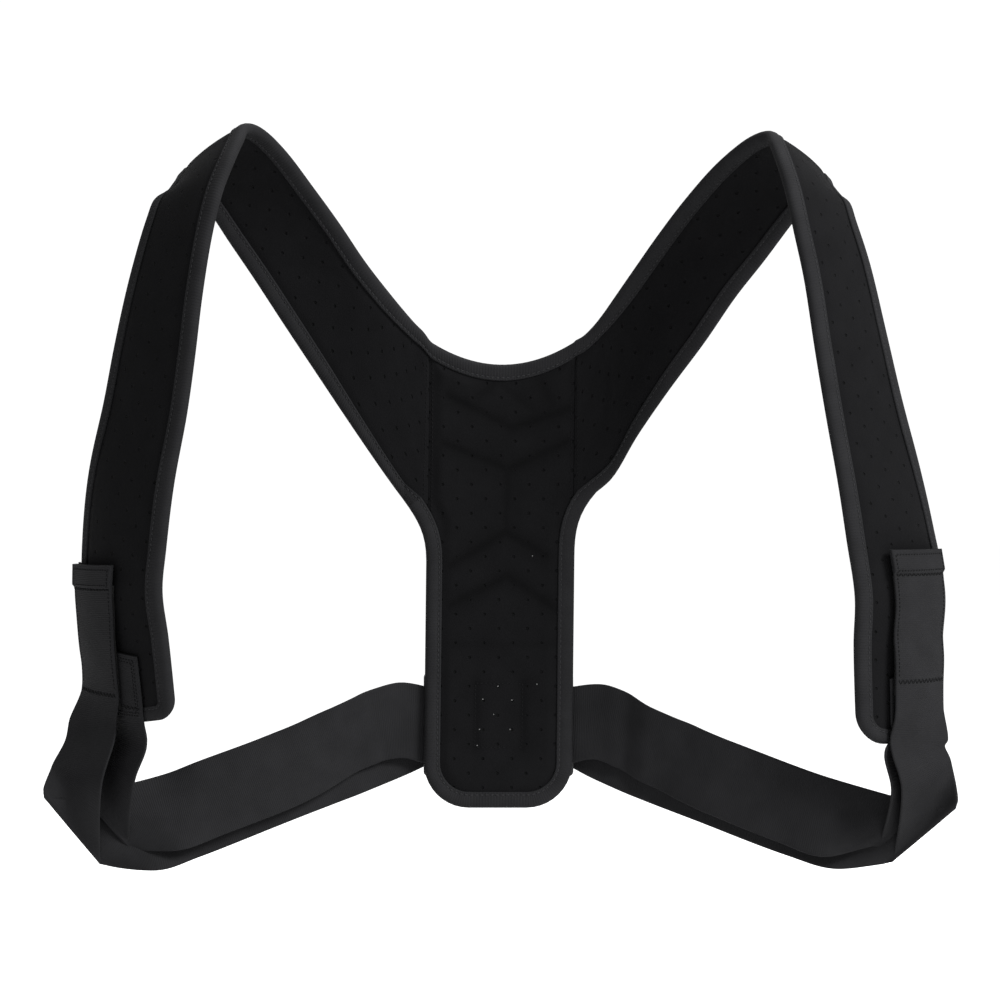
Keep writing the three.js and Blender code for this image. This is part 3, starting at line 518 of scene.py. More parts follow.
def cloth_material(name, colour, roughness, rib=None, grain=0.1, holes=False):
    """Black cloth: fine grain, ribs across its length, and a staggered pattern of small holes with
    painted shade in them.

    The third number of a point's place on the cloth darkens it: painted shade in the quilted
    grooves.
    """
    material = bpy.data.materials.new(name)
    material.use_nodes = True
    nodes, links = material.node_tree.nodes, material.node_tree.links
    shader = nodes["Principled BSDF"]
    shader.inputs["Roughness"].default_value = roughness
    shader.inputs["Specular IOR Level"].default_value = CLOTH_SHINE
    spot = nodes.new("ShaderNodeAttribute")
    spot.attribute_name = "cloth"

    def maths(operation, first, second=None):
        node = nodes.new("ShaderNodeMath")
        node.operation = operation
        for socket, value in zip(node.inputs, (first, second)):
            if value is None:
                continue
            if isinstance(value, (int, float)):
                socket.default_value = value
            else:
                links.new(value, socket)
        return node.outputs[0]

    def noise(scale, detail):
        node = nodes.new("ShaderNodeTexNoise")
        node.inputs["Scale"].default_value = scale
        node.inputs["Detail"].default_value = detail
        links.new(spot.outputs["Vector"], node.inputs["Vector"])
        return node.outputs["Fac"]

    height = maths("MULTIPLY", noise(*GRAIN_NOISE), grain)
    split = nodes.new("ShaderNodeSeparateXYZ")
    links.new(spot.outputs["Vector"], split.inputs[0])
    if rib:
        axis, pitch, rise = rib
        wave = maths("SINE", maths("MULTIPLY", split.outputs[axis], 2 * math.pi / pitch))
        height = maths("ADD", height, maths("MULTIPLY", wave, rise / 2))
    tone = maths("ADD", maths("MULTIPLY", noise(*MOTTLE_NOISE), MOTTLE_SPAN), MOTTLE_LOW)
    if holes:
        # Painted shade: the grooves darken the colour by their depth
        groove_painted_shade = maths("MULTIPLY", split.outputs[2], GROOVE_PAINTED_SHADE)
        tone = maths("MULTIPLY", tone, maths("SUBTRACT", 1.0, groove_painted_shade))
        nearest = None
        for shift in (0.0, HOLE_PITCH / 2):
            moved = nodes.new("ShaderNodeVectorMath")
            moved.operation = "ADD"
            moved.inputs[1].default_value = (shift + HOLE_START[0], shift + HOLE_START[1], 0)
            links.new(spot.outputs["Vector"], moved.inputs[0])
            wrap = nodes.new("ShaderNodeVectorMath")
            wrap.operation = "WRAP"
            wrap.inputs[1].default_value = (HOLE_PITCH / 2, HOLE_PITCH / 2, 1)
            wrap.inputs[2].default_value = (-HOLE_PITCH / 2, -HOLE_PITCH / 2, -1)
            links.new(moved.outputs[0], wrap.inputs[0])
            size = nodes.new("ShaderNodeVectorMath")
            size.operation = "LENGTH"
            links.new(wrap.outputs[0], size.inputs[0])
            away = size.outputs["Value"]
            nearest = away if nearest is None else maths("MINIMUM", nearest, away)
        ramp = nodes.new("ShaderNodeMapRange")
        ramp.interpolation_type = "SMOOTHSTEP"
        for socket, value in zip(ramp.inputs[1:5], (HOLE_INNER, HOLE_OUTER, 0, 1)):
            socket.default_value = value
        links.new(nearest, ramp.inputs[0])
        solid = ramp.outputs[0]
        height = maths("ADD", height, solid)
        # Painted shade in the holes: the colour is darker there, unevenly by noise
        faint = maths("MULTIPLY", noise(*HOLE_NOISE), HOLE_FADE)
        clear = maths("MULTIPLY", solid, maths("SUBTRACT", 1.0, faint))
        tone = maths("MULTIPLY", tone, maths("ADD", clear, faint))
    paint = nodes.new("ShaderNodeVectorMath")
    paint.operation = "SCALE"
    paint.inputs[0].default_value = colour
    links.new(tone, paint.inputs["Scale"])
    links.new(paint.outputs[0], shader.inputs["Base Color"])
    bump = nodes.new("ShaderNodeBump")
    bump.inputs["Strength"].default_value = 1.0
    bump.inputs["Distance"].default_value = MM
    links.new(height, bump.inputs["Height"])
    links.new(bump.outputs[0], shader.inputs["Normal"])
    return material


def plain_material(name, colour, roughness, specular):
    material = bpy.data.materials.new(name)
    material.use_nodes = True
    shader = material.node_tree.nodes["Principled BSDF"]
    shader.inputs["Base Color"].default_value = (*colour, 1)
    shader.inputs["Roughness"].default_value = roughness
    shader.inputs["Specular IOR Level"].default_value = specular
    return material


neoprene = cloth_material("neoprene", (0.0019, 0.0019, 0.0021), 0.9, None, 0.14, True)
tape = cloth_material("tape", (0.0054, 0.0054, 0.0058), 0.8, (1, 1.9, 0.11), 0.1)
elastic = cloth_material("elastic", (0.0051, 0.0051, 0.0055), 0.75, (1, 1.25, 0.12), 0.06)
thread = plain_material("thread", (0.0088, 0.0088, 0.0094), 0.8, 0.05)
dark_thread = plain_material("dark_thread", (0.0024, 0.0024, 0.0026), 0.8, 0.03)
hook = plain_material("hook", (0.004, 0.004, 0.004), 0.8, 0.05)
woven = plain_material("woven", (0.006, 0.006, 0.0065), 0.8, 0.08)
plastic = plain_material("plastic", (0.004, 0.004, 0.0045), 0.4, 0.25)
lint = plain_material("lint", (0.05, 0.05, 0.05), 0.8, 0.2)


# Panel
def neckline(x):
    return PANEL_LENGTH / 2 + NECKLINE_DIP * (x / PANEL_HALF) ** 2


def panel_inset(x, z):
    side, foot = PANEL_HALF - np.abs(x), z - PANEL_BOTTOM
    corner = PANEL_CORNER - np.hypot(PANEL_CORNER - side, PANEL_CORNER - foot)
    sewn = side + ARMPIT_FLARE * smooth(z, *ARMPIT_TURN)
    plain = np.minimum(np.minimum(sewn, foot), neckline(x) - z)
    return np.where((side < PANEL_CORNER) & (foot < PANEL_CORNER), corner, plain)


def quilting(x, z):
    """Depth of the quilting grooves on the panel's inner face."""
    depth = np.zeros_like(x)
    for values in QUILT_ROWS:
        row = dict(zip(QUILT_COLUMNS, values))
        start = np.array([row["x0"], row["z0"]])
        run = np.array([row["x1"], row["z1"]]) - start
        away = np.stack([x, z], -1) - start
        share = np.clip(away @ run / (run @ run), 0, 1)
        gap = np.linalg.norm(away - share[..., None] * run, axis=-1)
        form = sum(bell(gap, 0, width) for width in QUILT_WIDTHS)
        depth = np.maximum(depth, row["depth"] * QUILT_SHARE * form)
    return depth


def panel_lift(x, z):
    """How far the panel's inner face stands off its middle surface."""
    crown = smooth(panel_inset(x, z), TAPE_LEG - 1.5, TAPE_LEG + 7)
    swell = SWELL * np.sin(x / 9.0 + z / 31.0) * np.sin(z / 17.0)
    seam = SEAM_DIP * bell(np.abs(x), PANEL_HALF, SEAM_DIP_WIDTH)
    return STRAP_HALF + crown * (PANEL_CROWN + swell) - quilting(x, z) * crown - seam


def panel_piece():
    half = PANEL_HALF - EDGE_INSET + SEAM_LAP
    shares = np.linspace(-1, 1, PANEL_COLUMNS)
    low = PANEL_BOTTOM + PANEL_CORNER
    rows = []
    for share in np.linspace(0, 1, PANEL_ROW_COUNT):
        x = shares * half
        top = neckline(x) - EDGE_INSET
        rows.append(np.stack([x, top + (low - top) * share], 1))
    radius = PANEL_CORNER - EDGE_INSET
    for angle in np.linspace(0, math.pi / 2, 25)[1:]:
        reach = PANEL_HALF - PANEL_CORNER + radius * math.cos(angle)
        height = np.full_like(shares, low - radius * math.sin(angle))
        rows.append(np.stack([shares * reach, height], 1))
    grid = np.array(rows)
    x, z = grid[..., 0], grid[..., 1]
    crown = smooth(panel_inset(x, z), TAPE_LEG, TAPE_LEG * 2)
    front = np.stack([x + slant(z), PANEL_MIDDLE - panel_lift(x, z), z], -1)
    back = np.stack([x + slant(z), PANEL_MIDDLE + STRAP_HALF + crown, z], -1)
    # Painted shade: the grooves' depth, kept as the cloth's third number, darkens the colour
    groove_painted_shade = quilting(x, z)[..., None]
    cloth = np.concatenate([grid, groove_painted_shade], -1)
    piece = shell_piece("panel_pad", front, back, cloth, neoprene)
    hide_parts("spine_panel")
    return piece


def on_panel(x, z):
    """Points and normals on the panel's inner face."""
    x, z = np.broadcast_arrays(np.asarray(x, float), np.asarray(z, float))
    points = np.stack([x + slant(z), PANEL_MIDDLE - panel_lift(x, z), z], -1)
    return points, np.broadcast_to([0.0, -1.0, 0.0], points.shape)


# Straps
def strap_half(strap, length, across):
    """Half the thickness of a strap's pad: it swells between the binding and the seams."""
    edge = np.minimum(across, strap.width(length) - across)
    puff = PAD_PUFF * smooth(edge, TAPE_LEG - 1.5, TAPE_LEG + 6)
    return STRAP_HALF + puff - SEAM_DIP * bell(length, 0, SEAM_DIP_WIDTH)


# Wrinkles of the right strap near its seam: place along it, lean, height
WRINKLES = {"left": [], "right": [(44, 0.30, 0.9), (56, 0.34, -0.7), (66, 0.38, 0.6)]}
WRINKLE_WIDTH = 4.0
WRINKLE_MIDDLE = 44
WRINKLE_REACH = 20
WAVE = 0.35
WAVE_START = (4, 30)
WAVE_END = (130, 90)


def strap_wave(strap, length, across):
    """Soft creases of a strap, which fade out at its edges."""
    width = strap.width(length)
    inside = smooth(np.minimum(across, width - across), TAPE_LEG * 0.6, TAPE_LEG * 1.8)
    wave = WAVE * np.sin(length / 23.0 + across / 15.0)
    near = bell(across, WRINKLE_MIDDLE, WRINKLE_REACH)
    for middle, lean, rise in WRINKLES[strap.side]:
        wave = wave + rise * bell(length + lean * across, middle, WRINKLE_WIDTH) * near
    ends = [strap.total - back for back in WAVE_END]
    return wave * inside * smooth(length, *WAVE_START) * (1 - smooth(length, *ends))


def strap_piece(strap):
    turn = strap.total - strap.corner
    radius = strap.corner - EDGE_INSET
    sections = [(length, EDGE_INSET) for length in steps(0, turn, PAD_STEP)]
    for angle in np.radians(np.arange(PAD_TURN, 91, PAD_TURN)):
        sections.append((turn + radius * math.sin(angle), strap.corner - radius * math.cos(angle)))
    outer, inner, cloth = [], [], []
    for length, inset in sections:
        width = strap.width(length)[0]
        across = np.linspace(inset, width - inset, PAD_COLUMNS)
        lengths = np.full_like(across, length)
        place, normal = strap.place(lengths, across)
        half = strap_half(strap, lengths, across)[:, None]
        wave = strap_wave(strap, lengths, across)[:, None]
        outer.append(place + normal * (half + wave))
        inner.append(place - normal * (half - wave))
        cloth.append(np.stack([across - width / 2, lengths], 1))
    piece = shell_piece(
        f"strap_pad_{strap.side}", np.array(outer), np.array(inner), np.array(cloth),
        neoprene,
    )
    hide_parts(f"strap_{strap.side}")
    return piece


# Binding: frames round the whole outline, each a function of the distance in from the edge
def panel_frame(x, z, in_x, in_z):
    def at(inset):
        inset = np.atleast_1d(inset)
        px, pz = x + inset * in_x, z + inset * in_z
        place = np.stack([px + slant(pz), np.full_like(pz, PANEL_MIDDLE), pz], 1)
        return place, np.broadcast_to([0.0, 1.0, 0.0], place.shape)
    return at


def plain_lengths(strap):
    return steps(0, strap.total - strap.corner, CAD_STEP)


def strap_frames(strap):
    corner, turn = strap.corner, strap.total - strap.corner

    def side_at(length, arm):
        def at(inset):
            inset = np.atleast_1d(inset)
            return strap.place(length, strap.width(length)[0] - inset if arm else inset)
        return at

    def corner_at(angle, arm):
        def at(inset):
            reach = corner - np.atleast_1d(inset)
            length, across = turn + reach * math.sin(angle), corner - reach * math.cos(angle)
            return strap.place(length, strap.width(length) - across if arm else across)
        return at

    def tip_at(across):
        return lambda inset: strap.place(strap.total - np.atleast_1d(inset), across)

    angles = np.radians(np.arange(TAPE_TURN, 91, TAPE_TURN))
    flat = steps(strap.width(turn)[0] - corner, corner, TAPE_STEP)[1:-1]
    arm_lengths = steps(plain_lengths(strap)[1], turn, TAPE_STEP)
    neck_lengths = steps(0, turn, TAPE_STEP)
    return [
        *[side_at(length, True) for length in arm_lengths],
        *[corner_at(angle, True) for angle in angles],
        *[tip_at(across) for across in flat],
        *[corner_at(angle, False) for angle in angles[::-1]],
        *[side_at(length, False) for length in neck_lengths[::-1]],
    ]


def foot_height(strap):
    return strap.arm.at(0)[0][2] - ARMPIT_REACH


def armpit_frames(strap):
    """Frames along the curve from the strap's edge down to the panel's side."""
    lengths = plain_lengths(strap)
    start, beyond = strap.arm.at(strap.parameter(lengths[1:3]))
    heading = unit(start - beyond)
    foot_z = foot_height(strap)
    foot = np.array([strap.sign * PANEL_HALF + slant(foot_z), PANEL_MIDDLE, foot_z])
    pull = np.linalg.norm(start - foot) * ARMPIT_PULL
    bends = [foot, foot + [0, 0, pull], start + heading * pull, start]
    frames = []
    for t in np.linspace(0, 1, ARMPIT_STEPS + 1)[:-1]:
        shares = ((1 - t) ** 3, 3 * t * (1 - t) ** 2, 3 * t * t * (1 - t), t ** 3)
        edge = sum(share * bend for share, bend in zip(shares, bends))
        slopes = (-((1 - t) ** 2), (1 - t) ** 2 - 2 * t * (1 - t), 2 * t * (1 - t) - t * t, t * t)
        along = sum(slope * bend for slope, bend in zip(slopes, bends))
        inward = unit(np.array([-strap.sign * along[2], 0, strap.sign * along[0]]))

        def at(inset, edge=edge, inward=inward):
            place = edge + np.atleast_1d(inset)[:, None] * inward
            return place, np.broadcast_to([0.0, 1.0, 0.0], place.shape)

        frames.append(at)
    return frames


def side_frames(strap):
    low = PANEL_BOTTOM + PANEL_CORNER
    centre = PANEL_HALF - PANEL_CORNER
    frames = [
        panel_frame(strap.sign * PANEL_HALF, z, -strap.sign, 0)
        for z in steps(foot_height(strap), low, TAPE_STEP)[1:]
    ]
    for angle in np.radians(np.arange(TAPE_TURN, 90, TAPE_TURN)):
        cos, sin = math.cos(angle), math.sin(angle)
        frames.append(panel_frame(
            strap.sign * (centre + PANEL_CORNER * cos), low - PANEL_CORNER * sin,
            -strap.sign * cos, sin,
        ))
    return frames


# Folded tape's outside, as distance in from the edge and height over the middle surface; the
# height dips where the seam runs
TAPE_PROFILE = [
    (10.7, 2.25), (10.75, 2.9), (10.2, 3.45), (9.5, 3.45), (8.7, 2.95), (7.9, 3.3), (6.4, 3.6),
    (4.6, 3.65), (2.9, 3.4), (1.5, 2.75), (0.5, 1.6), (0.0, 0.0),
]
TAPE_FOLD = [(1.2, 2.2), (10.0, 2.2)]
SEAM_HEIGHT = 3.1
NECK_SHARE = 0.97
NECK_STEPS = 26

# Thickness of a thread, as a radius
BINDING_THREAD = 0.42
BAND_THREAD = 0.4
PANEL_THREAD = 0.34
LINT_RADIUS = 0.4


def binding_pieces(straps):
    neck_x = np.linspace(-NECK_SHARE, NECK_SHARE, NECK_STEPS) * (PANEL_HALF - EDGE_INSET)
    flat = PANEL_HALF - PANEL_CORNER
    frames = [
        *strap_frames(straps["left"]),
        *[panel_frame(x, neckline(x), 0, -1) for x in neck_x],
        *strap_frames(straps["right"])[::-1],
        *armpit_frames(straps["right"])[::-1],
        *side_frames(straps["right"]),
        *[panel_frame(x, PANEL_BOTTOM, 0, 1) for x in steps(flat, -flat, TAPE_STEP)],
        *side_frames(straps["left"])[::-1],
        *armpit_frames(straps["left"]),
    ]
    half = TAPE_PROFILE
    mirrored = [(inset, -lift) for inset, lift in half[-2::-1]]
    fold = [(inset, -lift) for inset, lift in TAPE_FOLD[::-1]] + TAPE_FOLD
    profile = np.array(half + mirrored + fold)
    rings, lines = [], {1: [], -1: []}
    for at in frames:
        place, normal = at(profile[:, 0])
        rings.append(place + normal * profile[:, 1:2])
        spot, up = at(SEAM_INSET)
        for face in lines:
            lines[face].append((spot[0] + face * up[0] * SEAM_HEIGHT, face * up[0]))
    rings = np.array(rings)
    edge = rings[:, len(half) - 1]
    along = np.concatenate([[0], np.cumsum(np.linalg.norm(np.diff(edge, axis=0), axis=1))])
    cloth = np.stack(np.broadcast_arrays(profile[None, :, 0], along[:, None]), -1)
    faces = outward(rings, ring_faces(len(rings), len(profile), True))
    piece = mesh_piece("binding_tape", rings, faces, cloth, tape, SHEET_SHARP)
    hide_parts("edge_binding")
    groups = []
    for face, line in lines.items():
        points, normals = (np.array([row[k] for row in line + line[:1]]) for k in range(2))
        groups.append(running(points, normals, STITCH_PITCH))
    thread_piece("binding_seam", groups, BINDING_THREAD, thread)
    return piece


# Bands
TAPE_TOP = STRAP_HALF + GAP + TAPE_THICKNESS
SEWN_LIFT = TAPE_TOP + BAND_GAP + BAND_THICKNESS / 2
TAB_LIFT = TAPE_TOP + 2 * BAND_GAP + PATCH_THICKNESS + BAND_THICKNESS / 2


class Band:
    """An elastic band: its two faces as grids of points, by length and distance across."""

    def __init__(self, strap):
        self.strap = strap
        side = strap.side
        low = strap.total - RUN_OFF
        sewn = [self.on_strap(length, SEWN_SHIFT, SEWN_LIFT)
                for length in steps(strap.total - SEWN_LENGTH, low, CAD_STEP)]
        tab = [self.on_tab(length) for length in steps(strap.total - TAB_RISE[side], low, CAD_STEP)]
        back = [*tab, *self.free(OUTER_ROWS[side])][::-1]
        inner = self.free(INNER_ROWS[side])
        turn = self.bight()
        stations = [*sewn, *inner, *turn, *[(m, -n, -c, crease) for m, n, c, crease in back]]
        middles, normals, cups = (np.array([s[k] for s in stations]) for k in range(3))
        edges = self.edge_curves(stations, middles, len(tab))
        places = self.row_places(middles, normals)
        spans = len(stations) - 1
        i = np.minimum(places.astype(int), spans - 1)
        share = (places - i)[:, None]
        far, near = (edge.at(places / spans) for edge in edges)
        middle, across = (far + near) / 2, (far - near) / 2
        facing = unit(normals[i] * (1 - share) + normals[i + 1] * share)
        cup = cups[i][:, None] * (1 - share) + cups[i + 1][:, None] * share
        gaps = np.linalg.norm(np.diff(middle, axis=0), axis=1)
        self.s = np.concatenate([[0], np.cumsum(gaps)])
        self.total = self.s[-1]
        first = len(sewn) + len(inner)
        self.ring = float(np.interp(first + len(turn) / 2, places, self.s))
        half = BAND_WIDTH / 2
        rim = np.array(BAND_RIM)
        inside = np.linspace(rim[-1] - half, half - rim[-1], BAND_COLUMNS)
        self.v = np.concatenate([rim[:-1] - half, inside, (half - rim[:-1])[::-1]])
        s, v = self.s[:, None], self.v[None, :]
        u = (self.v / half)[None, :, None]
        points = middle[:, None] + across[:, None] * u - facing[:, None] * cup[:, None] * u ** 2
        run, width = np.gradient(points, axis=0), np.gradient(points, axis=1)
        self.normal = unit(np.cross(width, run))
        turned = np.sum(self.normal * facing[:, None], 2).mean() < 0
        self.normal = -self.normal if turned else self.normal
        ripple = self.ripples(s, v)[..., None]
        thick = self.thickness(v)
        hem_start = self.total - HEM_LENGTH
        hem = BAND_THICKNESS * smooth(s, hem_start - 1, hem_start + 0.5)
        self.outer = points + self.normal * (thick[..., None] + ripple)
        self.inner = points - self.normal * ((thick + hem)[..., None] - ripple)

    def edge_curves(self, stations, middles, tab_count):
        """The band's two edges; the rows of the tab are turned level."""
        curve = Curve(middles)
        halves = self.half_widths(stations, curve.tangent(np.linspace(0, 1, len(stations))))
        last = len(stations) - 1
        for k, height in zip(last - np.arange(tab_count), self.level_share(tab_count)):
            run = curve.tangent(k / last)[0]
            halves[k] -= run * (halves[k][2] / run[2]) * height
        return Curve(middles + halves), Curve(middles - halves)

    def row_places(self, middles, normals):
        """Places of the rows, counted in stations: closer together where the band turns."""
        places = []
        for i in range(len(middles) - 1):
            span = np.linalg.norm(middles[i + 1] - middles[i])
            turned = math.acos(float(np.clip(unit(normals[i]) @ unit(normals[i + 1]), -1, 1)))
            count = max(
                math.ceil(span / BAND_STEP), math.ceil(math.degrees(turned) / BAND_TURN))
            places.extend(i + k / count for k in range(count))
        return np.array([*places, len(middles) - 1])

    def on_strap(self, length, shift, lift):
        width = self.strap.width(length)[0]
        place, normal = self.strap.place(length, width / 2 + shift)
        cup = float(self.strap.cup(length)) * (BAND_WIDTH / width) ** 2
        return place[0] + normal[0] * lift, normal[0], cup, None

    def half_widths(self, stations, runs):
        """Vectors from the band's middle to its far edge, along the crease where it is folded."""
        halves = []
        for (_, normal, _, crease), run in zip(stations, runs):
            across = unit(np.cross(run, unit(normal - run * (normal @ run)))) * BAND_WIDTH / 2
            halves.append(across if crease is None else crease)
        for k in range(1, len(stations)):
            if stations[k][3] is not None:
                halves[k] = halves[k] * (1 if halves[k] @ halves[k - 1] > 0 else -1)
        return np.array(halves)

    def level_share(self, count):
        """How far each station of the tab, from its end down, is turned level."""
        return 1 - smooth(np.arange(count), count - 3, count - 1) / 2

    def on_tab(self, length):
        side, total = self.strap.side, self.strap.total
        tip, edge = TAB_SHIFT[side]
        share = (total - length) / TAB_RISE[side]
        start = total - SEWN_LENGTH
        over = (BAND_THICKNESS + BAND_GAP) * smooth(
            length, start - HEM_LENGTH * 2, start - HEM_LENGTH / 2)
        middle, normal, cup, _ = self.on_strap(
            length, tip + (edge - tip) * share, TAB_LIFT + float(over))
        ease = float(1 - smooth(total - length, 0, PULL_LENGTH))
        out, fore = TAB_PULL[side]
        middle = middle + ease * np.array([self.strap.sign * out, -fore, 0])
        normal = unit(normal + ease * np.array([0, -TAB_TURN, 0]))
        return middle, normal, cup * (1 - ease), None

    def free(self, rows):
        sign = self.strap.sign
        rows = [dict(zip(RUN_COLUMNS, values)) for values in rows]
        middles = [np.array([
            sign * row["out"] * HALF_SPAN, PANEL_MIDDLE - row["fore"] * FRONT_REACH,
            -row["down"] * BAND_DROP,
        ]) for row in rows]
        stations = []
        for k, row in enumerate(rows):
            if row["face"] is None:
                before = unit(middles[k] - middles[k - 1])
                after = unit(middles[k + 1] - middles[k])
                normal = unit(before - after)
                crease = unit(before + after) * row["tip"]
                stations.extend((middles[k] + step, normal, 0.0, crease) for step in (
                    -before * CREASE_ROLL, 0 * before, after * CREASE_ROLL))
            elif not any(near["face"] is None for near in rows[max(k - 1, 0):k + 2]):
                face, tip = math.radians(row["face"]), math.radians(row["tip"])
                normal = np.array([
                    sign * math.sin(face) * math.cos(tip), -math.cos(face) * math.cos(tip),
                    math.sin(tip),
                ])
                stations.append((middles[k], normal, 0.0, None))
        return stations

    def bight(self):
        """The turn round the ring's bar."""
        sign = self.strap.sign
        centre = np.array([
            sign * (PANEL_HALF - RING_INSET) + slant(-RING_DROP),
            PANEL_MIDDLE + TAPE_TOP + 3 * BAND_GAP + BAND_THICKNESS + RING_BAR / 2,
            -RING_DROP,
        ])
        radius = RING_BAR / 2 * math.sqrt(2) + BAND_GAP + BAND_THICKNESS / 2
        stations = []
        for angle in np.radians([0, 45, 90, 135, 180]):
            way = np.array([-sign * math.sin(angle), -math.cos(angle), 0])
            stations.append((centre + way * radius, -way, 0.0, None))
        return stations

    def thickness(self, v):
        """Half the thickness: a little more along the woven edges, which are round."""
        inset = BAND_WIDTH / 2 - np.abs(v)
        edge = np.clip(1 - inset / EDGE_ROUND, 0, 1)
        rim = 1 + SELVEDGE_RISE * bell(inset, SELVEDGE_INSET, SELVEDGE_WIDTH)
        return BAND_THICKNESS / 2 * rim * np.sqrt(np.maximum(1 - edge ** 2, 0.02))

    def ripples(self, s, v):
        """Soft creases across the runs near the ring, and small waves in between."""
        wave = 0 * s * v
        for away, lean, rise, width in CREASES[self.strap.side]:
            wave = wave + rise * bell(s + lean * v, self.ring + away, width)
        tab_start = self.total - TAB_RISE[self.strap.side]
        free = smooth(s, SEWN_LENGTH + 10, SEWN_LENGTH + 60)
        free = free * (1 - smooth(s, tab_start - 50, tab_start - 5))
        gentle = GENTLE_WAVE * np.sin(s / 13.0 + v / 21.0) * np.cos(s / 37.0)
        return (wave + gentle) * free * smooth(np.abs(s - self.ring), *RING_CLEAR)

    def spot(self, s, v, out=True):
        """Points and normals on one face, at lengths s and distances v across."""
        s, v = np.broadcast_arrays(np.asarray(s, float), np.asarray(v, float))
        i = np.clip(np.searchsorted(self.s, s) - 1, 0, len(self.s) - 2)
        j = np.clip(np.searchsorted(self.v, v) - 1, 0, len(self.v) - 2)
        a = ((s - self.s[i]) / (self.s[i + 1] - self.s[i]))[..., None]
        b = ((v - self.v[j]) / (self.v[j + 1] - self.v[j]))[..., None]

        def mix(grid):
            return ((grid[i, j] * (1 - b) + grid[i, j + 1] * b) * (1 - a)
                    + (grid[i + 1, j] * (1 - b) + grid[i + 1, j + 1] * b) * a)

        face = 1 if out else -1
        return mix(self.outer if out else self.inner), unit(mix(self.normal)) * face

    def line(self, s0, v0, s1, v1, out, pitch=2.6):
        share = np.linspace(0, 1, 40)
        return running(*self.spot(s0 + (s1 - s0) * share, v0 + (v1 - v0) * share, out), pitch)

    def zigzag(self, s, out, rise=3.2, reach=23.0, count=26):
        v = np.linspace(-reach, reach, count)
        up = np.where(np.arange(count) % 2 == 0, -rise / 2, rise / 2)
        return joined(*self.spot(s + up, v, out))

    def box(self, s0, s1, reach, out):
        return [
            self.line(s0, -reach, s0, reach, out), self.line(s1, -reach, s1, reach, out),
            self.line(s0, -reach, s1, -reach, out), self.line(s0, reach, s1, reach, out),
        ]


# Columns across a band: distances in from an edge, and how many in between
BAND_RIM = (0.0, 0.25, 0.8, 2.0)
BAND_COLUMNS = 25
EDGE_ROUND = 0.8
SELVEDGE_RISE = 0.12
SELVEDGE_INSET = 1.6
SELVEDGE_WIDTH = 0.9
GENTLE_WAVE = 0.3
RING_CLEAR = (12, 26)

# How far the roll of a diagonal fold reaches to either side of its crease
CREASE_ROLL = 4

# Lower part of a tab, which its band pulls off the strap: how far out and forward
PULL_LENGTH = 26
TAB_PULL = {"left": (5, 3), "right": (-2, 1)}
TAB_TURN = 0.35

# Creases of a band near its ring: distance from the ring (the inner run is below 0), lean,
# height and width
CREASES = {
    "left": [(-42, 0.15, 1.3, 6), (-70, -0.1, -1.0, 9), (-104, 0.2, 0.8, 10), (60, 0.1, 0.8, 9)],
    "right": [(-46, 0.2, 1.6, 6), (-62, 0.25, -1.1, 6), (-84, -0.1, 1.4, 8), (-112, 0.1, -0.8, 10),
              (58, 0.1, 0.8, 9)],
}


# Seams of a band: reach from its middle, and places from the sewn end or from the tab's end
BOX_REACHES = (21.5, 19.5)
BOX_PLACES = ((3, 42), (5, 40))
CROSS_REACH = 23.5
EDGE_REACH = 22.5
TAB_SEAM = 84
SEWN_ZIGZAG = 36
TAB_ZIGZAG = 86
HEM_ZIGZAG = 1.5
HEM_SEAM = 3
HEM_ZIGZAG_RISE = 2.0


def band_pieces(strap):
    band = Band(strap)
    side = strap.side
    cloth = np.stack(np.broadcast_arrays(band.v[None, :], band.s[:, None]), -1)
    piece = shell_piece(
        f"band_webbing_{side}", band.outer, band.inner, cloth, elastic, SHEET_SHARP)
    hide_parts(f"band_{side}")
    end = band.total
    hem = end - HEM_LENGTH
    seams = []
    for (start, stop), reach in zip(BOX_PLACES, BOX_REACHES):
        seams.extend(band.box(start, stop, reach, True))
    for place in (hem + HEM_ZIGZAG, end - HEM_SEAM):
        seams.append(band.line(place, -CROSS_REACH, place, CROSS_REACH, False))
    for reach in (-EDGE_REACH, EDGE_REACH):
        seams.append(band.line(end - HEM_SEAM, reach, end - TAB_SEAM, reach, False))
    zigzags = [
        band.zigzag(SEWN_ZIGZAG, True), band.zigzag(end - TAB_ZIGZAG, False),
        band.zigzag(hem - HEM_ZIGZAG, False, HEM_ZIGZAG_RISE),
    ]
    stitches = thread_piece(
        f"band_stitches_{side}", seams, BAND_THREAD, dark_thread)
    jagged = thread_piece(
        f"band_zigzag_{side}", zigzags, BINDING_THREAD, dark_thread)
    return piece


# Stitches on the panel's inner face: a box, and the seams between panel and straps
BOX_CORNERS = [(-15.6, -64.0), (15.4, -64.0), (15.4, -106.0), (-15.6, -106.0)]
BOX_PITCH = 2.8
SEAM_PITCH = 3.0
SEAM_GAP = 3.2
SEAM_LENGTH = 3.4
SEAM_SINK = 0.05


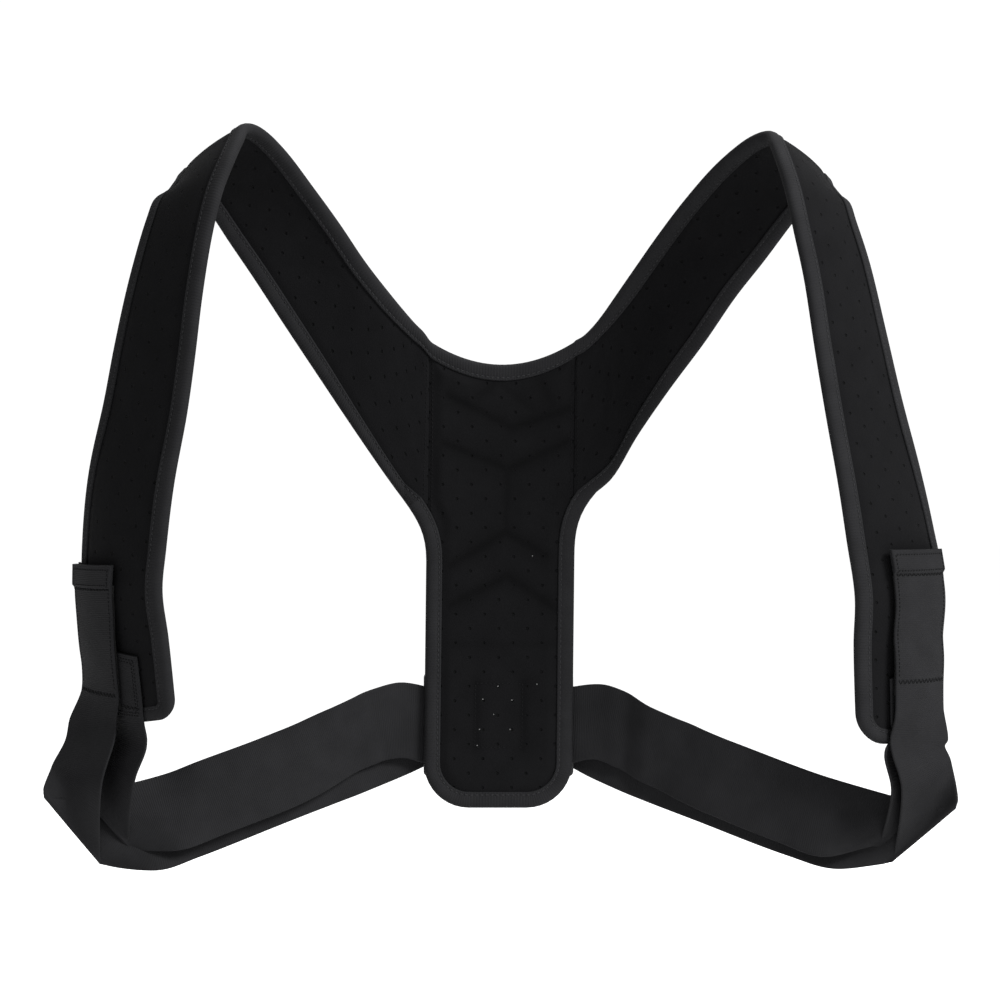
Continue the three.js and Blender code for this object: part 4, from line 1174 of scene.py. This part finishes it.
def seam_pieces(straps):
    groups = []
    for sign in (-1, 1):
        strap = straps["left" if sign < 0 else "right"]
        low = strap.arm.at(0)[0][2]
        z = np.linspace(SEAM_TOP - TAPE_LEG - 1, low + TAPE_LEG + 1, 60)
        x = np.full_like(z, sign * (PANEL_HALF - SEAM_GAP))
        groups.append(running(*on_panel(x, z), SEAM_PITCH))
        across = np.linspace(TAPE_LEG + 1, strap.width(3.0)[0] - TAPE_LEG - 1, 60)
        place, normal = strap.place(SEAM_LENGTH, across)
        half = strap_half(strap, np.full_like(across, SEAM_LENGTH), across)[:, None]
        groups.append(running(place - normal * (half - SEAM_SINK), -normal, SEAM_PITCH))
    share = np.linspace(0, 1, 30)
    for (x0, z0), (x1, z1) in zip(BOX_CORNERS, BOX_CORNERS[1:] + BOX_CORNERS[:1]):
        line = on_panel(x0 + (x1 - x0) * share, z0 + (z1 - z0) * share)
        groups.append(running(*line, BOX_PITCH))
    thread_piece("panel_stitches", groups, PANEL_THREAD, dark_thread)


# Pale specks of lint on the panel's inner face: place and size
SPECKS = [
    (-0.7, -66.0, 0.55), (25.0, -64.7, 0.5), (-10.6, -74.6, 0.5), (8.6, -75.2, 0.5),
    (-3.3, -84.5, 0.35), (-12.5, -94.4, 0.5), (7.6, -94.4, 0.5), (-13.9, -105.0, 0.45),
    (21.1, 19.8, 0.4),
]


def speck_piece():
    groups = []
    for x, z, size in SPECKS:
        points, normals = on_panel(np.array([x - size, x + size]), np.array([z, z + size * 0.4]))
        groups.append((points[:1], points[1:], normals[:1]))
    thread_piece("lint_specks", groups, LINT_RADIUS, lint)


straps = {side: Strap(side) for side in ("left", "right")}
panel_piece()
binding_pieces(straps)
for strap in straps.values():
    strap_piece(strap)
    band_pieces(strap)
seam_pieces(straps)
speck_piece()

CAD_LOOKS = {
    "hook_patch_left": hook, "hook_patch_right": hook, "ring_left": plastic,
    "ring_right": plastic, "ring_webbing": woven,
}
for node, material in CAD_LOOKS.items():
    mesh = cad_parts[node].data
    mesh.materials.clear()
    mesh.materials.append(material)

# Floor, light and camera
FLOOR_SIZE = 60
FLOOR_DROP = 0.45
SKY_STRENGTH = 1.05
LENS = 98.2
SENSOR = 36
CAMERA_PLACE = (0, -1.8, 0.0568)
bpy.ops.mesh.primitive_plane_add(size=FLOOR_SIZE, location=(0, 0, -FLOOR_DROP))
floor = bpy.context.object
floor.name = "floor"
floor.data.materials.append(plain_material("floor_paint", (0.97, 0.97, 0.97), 1.0, 0.0))

world = bpy.data.worlds.new("studio")
bpy.context.scene.world = world
world.use_nodes = True
sky = world.node_tree.nodes["Background"]
sky.inputs["Color"].default_value = (1, 1, 1, 1)
sky.inputs["Strength"].default_value = SKY_STRENGTH

LIGHT_COLUMNS = ("name", "place", "size", "power")
LIGHTS = [
    ("key", (1.7, -1.4, 1.5), 0.9, 225),
    ("fill", (-1.8, -1.6, 0.6), 1.4, 8),
    ("top", (0.2, 0.3, 1.9), 1.2, 50),
]
for values in LIGHTS:
    row = dict(zip(LIGHT_COLUMNS, values))
    light = bpy.data.lights.new(row["name"], "AREA")
    light.size = row["size"]
    light.energy = row["power"]
    lamp = bpy.data.objects.new(row["name"], light)
    bpy.context.scene.collection.objects.link(lamp)
    lamp.location = row["place"]
    lamp.rotation_mode = "QUATERNION"
    lamp.rotation_quaternion = (-lamp.location).to_track_quat("-Z", "Y")

camera = bpy.data.cameras.new("camera")
camera.sensor_width = SENSOR
camera.lens = LENS
viewer = bpy.data.objects.new("camera", camera)
bpy.context.scene.collection.objects.link(viewer)
viewer.location = CAMERA_PLACE
viewer.rotation_euler = (math.pi / 2, 0, 0)
bpy.context.scene.camera = viewer
bpy.context.scene.view_settings.view_transform = "Standard"
